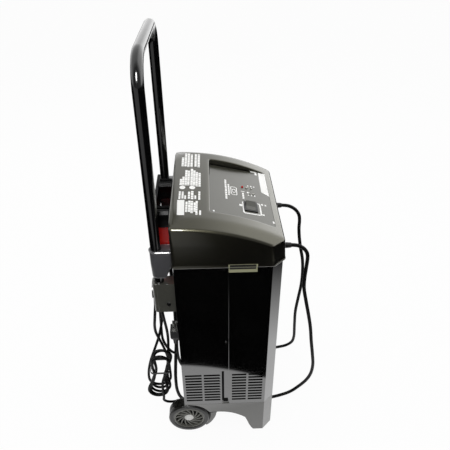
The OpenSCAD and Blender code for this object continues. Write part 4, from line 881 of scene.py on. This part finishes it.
    def build(self) -> None:
        """Makes the cover, its cups and its tabs, and dresses the panel and what sits in it."""
        pieces = [self.cover(), self.cup("left"), self.cup("right"), self.tabs(), self.rail()]
        # the cups' lighter finish is painted light on the console's own plastic
        for piece, finish in zip(pieces, (CONSOLE_ABS, CUP_ABS_PAINTED_LIGHT, CUP_ABS_PAINTED_LIGHT, JAW_COAT, JAW_COAT)):
            finish.dress(piece, "olive_grey_plastic")
            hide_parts("console_cover")
            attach(piece, BODY)
        OVERLAY.dress_nodes("control_panel")
        RED_LENS.dress_nodes("red_indicator_lens")
        CLEAR_LENS.dress_nodes("clear_indicator_lenses")
        BOARD.dress_nodes("circuit_board")
        ZINC.dress_nodes("console_screws")
        SWITCH_NYLON.form("switch_bezel", "black_plastic", 0.8)
        ROCKER_NYLON.form("switch_rocker", "black_plastic", 0.5)


# ------------------------------------------------------------------ print and labels
@dataclass
class Print:
    """Plain white marks on the console: bars and boxes without lettering, and blank labels."""

    console: Console
    ink: float = 0.12
    bed_z: float = 0.8
    short: float = 20.0

    def corners(self, boxes: Array) -> Array:
        """The four corners of each rectangle x0, y0, x1, y1, counterclockwise, flat."""
        return boxes[:, [[0, 1], [2, 1], [2, 3], [0, 3]]]

    def laid(self, flat: Array, height: float) -> Array:
        """Flat patches in bed coordinates, laid at a height over the bed."""
        return self.console.on_bed(np.concatenate([flat, np.full(flat.shape[:2] + (1,), height)], -1))

    def stick(self, name: str, quads: Array, finish: Finish, slot: str = "overlay") -> None:
        """Makes thin slabs over four-cornered patches, n x 4 x 3, as one piece on the cabinet."""
        up = np.cross(quads[:, 1] - quads[:, 0], quads[:, 3] - quads[:, 0])
        up /= np.linalg.norm(up, axis=1)[:, None]
        points = np.concatenate([quads, quads + up[:, None] * self.ink], 1).reshape(-1, 3)
        one = np.array([[3, 2, 1, 0], [4, 5, 6, 7], [0, 1, 5, 4], [1, 2, 6, 5], [2, 3, 7, 6],
                        [3, 0, 4, 7]])
        faces = (one[None] + 8 * np.arange(len(quads))[:, None, None]).reshape(-1, 4).tolist()
        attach(finish.dress(shell(name, points, faces), slot), BODY)

    def ring(self, outer: Array, inner: Array) -> Array:
        """Quads between two counterclockwise outlines, n x 4 x 2."""
        return np.stack([inner, outer, np.roll(outer, -1, 0), np.roll(inner, -1, 0)], 1)

    def oval(self, x: float, y: float, a: float, b: float, hole: float = 0.05) -> Array:
        """An oval with half axes a and b, or a ring of that shape."""
        t = np.arange(20) * math.pi / 10
        edge = np.column_stack([a * np.cos(t), b * np.sin(t)])
        return self.ring(edge + [x, y], edge * hole + [x, y])

    def frame_round(self, corners: Array, radius: float, line: float) -> Array:
        """The rounded outline of a box as a line."""
        outer = rounded(corners, radius, 5, 3)
        return self.ring(outer, outer + inward(outer) * line)

    def line(self, y: float, x0: float, x1: float, thick: float) -> list[tuple[float, ...]]:
        """A row of bars along X, as a line of small type reads from far off: lengths repeat by 4, and
        a short row is one bar."""
        if x1 - x0 <= self.short:
            return [(x0, y - 1.8, x1, y + 1.8)]
        boxes, x, k = [], x1, int(abs(y) * 7) % 4
        while x > x0 + 1:
            w = (8.0, 5.0, 11.0, 6.5)[k % 4]
            boxes.append((max(x - w, x0), y - thick / 2 - 0.3, x, y + thick / 2 + 0.3))
            x, k = x - w - 1.1, k + 1
        return boxes

    def bed_marks(self) -> Array:
        """Marks on the overlay in bed coordinates."""
        rows = ((-39.0, -33, 49, 3.6), (-45.3, -16, 31, 3.2), (-77, -22, 3, 3.6))
        boxes = sum((self.line(*row) for row in rows), [])
        boxes += [
            (8, -81, 10.5, -73), (107, -117, 113, -102), (96, -117, 107, -112), (5, -91, 11, -86.5),
            (36, -92, 40, -88.5), (36, -99.5, 40, -96), (35.5, -106, 39.5, -102.5), (-4, -91, 0, -88),
            (-4, -98, 0, -95), (-4.5, -105, 1, -101.5), (-53, -73, -45, -66),
            (-36.5, -119, -30.5, -115), (-37, -126, -32, -122), (-76, -118.5, -71, -113.5),
            (-100, -137, -92, -133.5)]
        edge = self.frame_round(box(-78, -113, -31, -72.5), 6.0, 3.3)
        badge = self.frame_round(box(-11.5, -64, 22.5, -49.5), 4.0, 1.8)
        label = np.array([[[20, -120.5], [7, -137.2], [110, -137.2], [111, -121]]], float)
        return np.concatenate([self.corners(np.array(boxes, float)), edge, badge, label,
                               self.oval(5.5, -56.7, 8.5, 4.2, 0.7), self.oval(-88.5, -10.3, 2.8, 2.2)])

    def top_marks(self) -> Array:
        """Marks on the flat behind the recess: rows of bars, two ovals and a blank box."""
        rows = [
            (83, 68, 112, 4.6), (76.5, 68, 133, 4.6), (70, 66, 133, 4.6), (63, 66, 128, 4.6),
            (54, 67, 131, 4.6), (47, 66, 131, 4.8), (84, -17, 10, 4.2), (79, -17, 20, 4.2),
            (73.5, -17, 50, 4.4), (68, -17, 48, 4.4), (61.5, -17, 57, 4.6), (56, -17, 50, 4.4),
            (50.5, -20, 43, 4.4), (44.5, -20, 40, 4.4), (84.5, -72, -42, 3.4), (78.5, -71, -43, 3.6),
            (73, -72, -58, 3.4), (65.5, -71, -43, 3.6), (59, -72, -40, 4.6), (52.5, -71, -57, 3.4),
            (44.5, -73, -40, 3.6), (69.5, -120, -82, 3.8), (64, -119, -78, 4.0), (59, -123, -79, 4.4),
            (53.5, -119, -84, 3.4), (49.5, -128, -78, 3.6), (42.5, -128, -112, 3.4)]
        boxes = sum((self.line(*row) for row in rows), [])
        blank = np.array([[[-131, 73], [-76, 74], [-76, 88.5], [-131, 87]]], float)
        return np.concatenate([self.corners(np.array(boxes, float)), blank, self.oval(-26, 80, 7.2, 6.2),
                               self.oval(-25.5, 59.5, 7.2, 6.2)])

    def build(self) -> None:
        """Prints the overlay and the top, and sticks on the blank labels."""
        flat = self.top_marks()
        top = self.console.top(flat[..., 0], flat[..., 1]) - 0.02
        marks = [self.laid(self.bed_marks(), self.bed_z), np.concatenate([flat, top[..., None]], -1)]
        self.stick("white_print", np.vstack(marks), INK)
        # a label over the joint of cover and shell, its darker fields, and a painted shadow in the gap
        # round the overlay
        joint = [(-162.0, 542.0), (-162.0, 554.5), (-165.6, 558.0), (-165.8, 565.5)]
        fields = [((-165.87, 558.7), (-165.95, 564.6)), ((-162.08, 549.8), (-162.16, 554.0))]
        for name, finish, y0, y1, bands in (
                ("side_label", CREAM_LABEL, -10.5, -69.0, zip(joint[:-1], joint[1:])),
                ("label_field", LABEL_DARK, -13.0, -66.0, fields)):
            quads = [[(x0, y0, z0), (x0, y1, z0), (x1, y1, z1), (x1, y0, z1)]
                     for (x0, z0), (x1, z1) in bands]
            self.stick(name, np.array(quads), finish)
        # painted shadow: a near-black strip along the recess's far side and back
        gap = self.corners(np.array([[108.8, -112.0, 112.0, -3.0], [60.0, -3.2, 110.0, -0.2]]))
        self.stick("recess_gap_painted_shadow", self.laid(gap, self.bed_z - 0.02), SHADE_BLACK, "black_plastic")


# ------------------------------------------------------------------ cabinet, base and handle
@dataclass
class Cabinet:
    """Steel shells with hemmed seams, the moulded base, the handle and its brackets."""

    side_x: float = 162.0
    seam_y: float = -11.0
    seam_z: Pair = (239.0, 556.0)
    bead_r: float = 0.4
    # Near-black plates of painted shade: behind the vent slots, behind the slot at the seam's foot, and
    # a dark strip for the seam's groove
    # on both sides: name, X from and to, face from Y, Z to Y, Z, and its corner radius
    plates: tuple = (("vent_liner", (160.15, 160.55), (-86.0, 127.0, 90.0, 236.0), 2.0),
                     ("seam_latch", (159.2, 160.5), (-9.0, 119.5, 3.0, 126.4), 0.6),
                     ("seam_groove", (162.0, 162.12), (0.4, 127.0, 5.8, 236.0), 0.4))

    def beads(self) -> Piece:
        """The hems along the two side seams: half-round beads with domed ends, drawn in by r t squared
        where t falls from 0.98 to 0 over one radius of height."""
        z0, z1 = self.seam_z
        t = np.array([0.98, 0.7, 0.3, 0.0])
        height = np.concatenate([z0 + self.bead_r * (1 - t), z1 - self.bead_r * (1 - t[::-1])])
        inset = self.bead_r * np.concatenate([t, t[::-1]]) ** 2
        stacks = []
        for side in SIDES.values():
            circle = arc((side * self.side_x, self.seam_y), self.bead_r, 0, 360, 20)[:-1]
            stacks.append(stations(circle, list(zip(height, inset)), 2))
        return pile("seam_beads", stacks, crease=50.0)

    def build(self) -> None:
        """Dresses the shells, base, handle and brackets."""
        # each plate is a sheet of painted shade
        for name, (x0, x1), face, edge in self.plates:
            flat = rounded(box(*face), edge, 4, 2)
            piece = pile(name, [stations(flat, [(side * x0, 0), (side * x1, 0)], 0)
                                for side in SIDES.values()])
            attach(SHADE_BLACK.dress(piece, "black_plastic"), BODY)
        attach(ENAMEL.dress(self.beads(), "black_gloss_paint"), BODY)
        ENAMEL.dress_nodes("rear_shell", "front_shell")
        TUBE_COAT.form("handle_tube", "black_tube")
        BASE_ABS.form("base_moulding", "base_plastic", 0.9)
        BASE_ABS.form("cord_hook", "base_plastic", 0.8)
        # the brackets' lighter finish is painted light on the base's own plastic
        for name in SIDES:
            BRACKET_ABS_PAINTED_LIGHT.form(f"{name}_handle_bracket", "base_plastic", 1.5, cuts=1)
        PVC_BLACK.dress_nodes("handle_end_plugs", "lead_strain_reliefs", "mains_strain_relief")
        BLACK_ZINC.dress_nodes("shell_screws", "handle_screws")


@dataclass
class Wheels:
    """Ribbed tyres, spoked hubs, plain caps and the axle, and the guards round the tyres' front."""

    wheel_r: float = 51.7
    axle_y: float = 91.4
    back_x: Pair = (151.4, 152.5)
    back_r: Pair = (13.2, 35.0)
    guard_x: Pair = (132.0, 150.0)
    guard_r: float = 55.0

    def back(self, name: str) -> Piece:
        """The web between the hub's two halves, a flat ring behind the spokes, near-black as painted
        shade seen between the spokes.
        """
        (x0, x1), (r0, r1) = self.back_x, self.back_r
        circle = arc((self.axle_y, self.wheel_r), r1, 0, 360, 72)[:-1]
        places = [(SIDES[name] * x, r1 - r) for x, r in ((x0, r0), (x0, r1), (x1, r1), (x1, r0))]
        return loft(f"{name}_wheel_web_painted_shade", stations(circle, places, 0), loop=True)

    def guard(self, name: str) -> Piece:
        """A guard on the cheek round the tyre's front: a rounded section from guard_r to an outer
        radius that falls by degrees, carried through an angle."""
        rings = []
        for angle in np.linspace(172, 226, 28):
            outer = np.interp(angle, [172, 198, 226], [71.5, 66.5, 64.0])
            x, r = rounded(box(self.guard_x[0], self.guard_r, self.guard_x[1], outer), 1.6, 4, 2).T
            a = math.radians(angle)
            rings.append(np.column_stack([SIDES[name] * x, self.axle_y + r * math.cos(a),
                                          self.wheel_r + r * math.sin(a)]))
        return loft(f"{name}_wheel_guard", np.array(rings))

    def build(self) -> None:
        """Dresses both wheels."""
        for name in SIDES:
            TYRE.form(f"{name}_wheel_tyre", "tyre_plastic", 0.35)
            HUB.form(f"{name}_wheel_hub", "hub_plastic", 0.3)
            CAP.dress_nodes(f"{name}_wheel_cap")
            # the web in painted shade
            web = SHADE_BLACK.dress(self.back(name), "black_plastic")
            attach(web, frame["nodes"][f"{name}_wheel_hub"]["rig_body"])
            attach(BASE_ABS.dress(self.guard(name), "base_plastic"), BODY)
        ZINC.dress_nodes("wheel_axle")


# ------------------------------------------------------------------ clamps
@dataclass
class Clamps:
    """Two battery clamps: vinyl-dipped arms, toothed jaws, pin and wound spring."""

    at: dict[str, float] = field(default_factory=lambda: {"red": -100.0, "black": 10.0})
    y: float = 117.5
    z: float = 620.0
    wire: float = 1.1
    coil_r: float = 4.4
    turns: int = 3
    step: float = 1.45
    coat_drop: float = 4.0

    def spring(self, colour: str) -> Piece:
        """Torsion spring: a helix round the pin, r (cos a, sin a), a step further per turn, with
        both tails up behind the arms."""
        a = np.linspace(0, 2 * math.pi * (self.turns + 0.5), 110)
        y = (a / (2 * math.pi) - (self.turns + 0.5) / 2) * self.step
        coil = np.column_stack([self.coil_r * np.cos(a), y, -self.coil_r * np.sin(a)])
        tail = np.array([[self.coil_r + 0.3, y[0], 5.0], [-self.coil_r - 0.3, y[-1], 5.0]])
        path = np.vstack([tail[:1], coil, tail[1:]]) + [self.at[colour], self.y, self.z]
        return loft(f"{colour}_clamp_spring_wire", tube_rings(path, self.wire / 2, 10), crease=60.0)

    def grips(self, arm: Piece) -> None:
        """Leaves the vinyl on the grip, and gives the jaw, from just below the pin, the dark coat."""
        arm.data.materials.append(JAW_COAT.material())
        for face in arm.data.polygons:
            face.material_index = int(face.center.z / MM > self.z - self.coat_drop)

    def build(self) -> None:
        """Makes and dresses both clamps."""
        for colour, finish, slot in (("red", CLAMP_RED, "red_plastic"),
                                     ("black", CLAMP_BLACK, "black_plastic")):
            for arm in ("fixed_arm", "moving_arm"):
                self.grips(finish.form(f"{colour}_clamp_{arm}", slot, 1.4))
            JAW_STEEL.dress_nodes(f"{colour}_clamp_fixed_contact", f"{colour}_clamp_moving_contact")
            ZINC.dress_nodes(f"{colour}_clamp_pin")
            wire = SPRING_WIRE.dress(self.spring(colour), "zinc_steel")
            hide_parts(f"{colour}_clamp_spring")
            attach(wire, BODY)


# ------------------------------------------------------------------ inside the cabinet
@dataclass
class Inside:
    """Transformer with wound coils, rectifier, fan and chassis."""

    core_at: Vec = (-36.0, -18.0, 151.0)
    inner: Pair = (45.0, 71.0)
    outer: Pair = (86.0, 107.0)
    turns: int = 12
    swell: float = 0.9
    corner_r: Pair = (1.5, 8.0)

    def winding(self, name: str, z0: float, z1: float) -> Piece:
        """A wound coil: rounded rectangles stacked so that the outside swells by half a wire at
        each turn, r = r0 + w |sin(pi turns v)|, and the inside stays flat."""
        cx, cy, cz = self.core_at
        v = np.linspace(0, 1, self.turns * 6 + 1)
        swell = self.swell * np.abs(np.sin(math.pi * self.turns * v))
        low, high = cz + z0, cz + z1
        x, y = self.outer[0] / 2 - 1.0, self.outer[1] / 2 - 1.0
        outside, rings = rounded(box(-x, -y, x, y), self.corner_r[1], 5, 3) + [cx, cy], []
        for s, w in zip(v, swell):
            rings.append(lift(outside - inward(outside) * w, low + (high - low) * s))
        x, y = self.inner[0] / 2, self.inner[1] / 2
        hole = rounded(box(-x, -y, x, y), self.corner_r[0], 5, 3) + [cx, cy]
        rings += [lift(hole, high), lift(hole, low)]
        return loft(name + "_turns", np.array(rings), loop=True, crease=60.0)

    def build(self) -> None:
        """Makes the coils and dresses everything inside."""
        for name, z0, z1 in (("primary_winding", -32.5, -2.0), ("secondary_winding", 1.0, 32.5)):
            coil = WINDING.dress(self.winding(name, z0, z1), "copper")
            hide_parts(name)
            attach(coil, BODY)
        LAMINATION.dress_nodes("transformer_core")
        FINS.dress_nodes("rectifier_heat_sink")
        SPRING_WIRE.dress_nodes("rectifier_diodes")
        PVC_BLACK.dress_nodes("fan_frame", "fan_rotor", "thermal_breaker")
        ZINC.dress_nodes("chassis_plate", "transformer_strap")


def main() -> None:
    """Builds the scene in order."""
    console = Console()
    for part in (Studio(), Cords(), console, Print(console), Cabinet(), Wheels(), Clamps(), Inside()):
        part.build()
        log.info("built: %s", type(part).__name__)


if __name__ == "__main__":
    main()
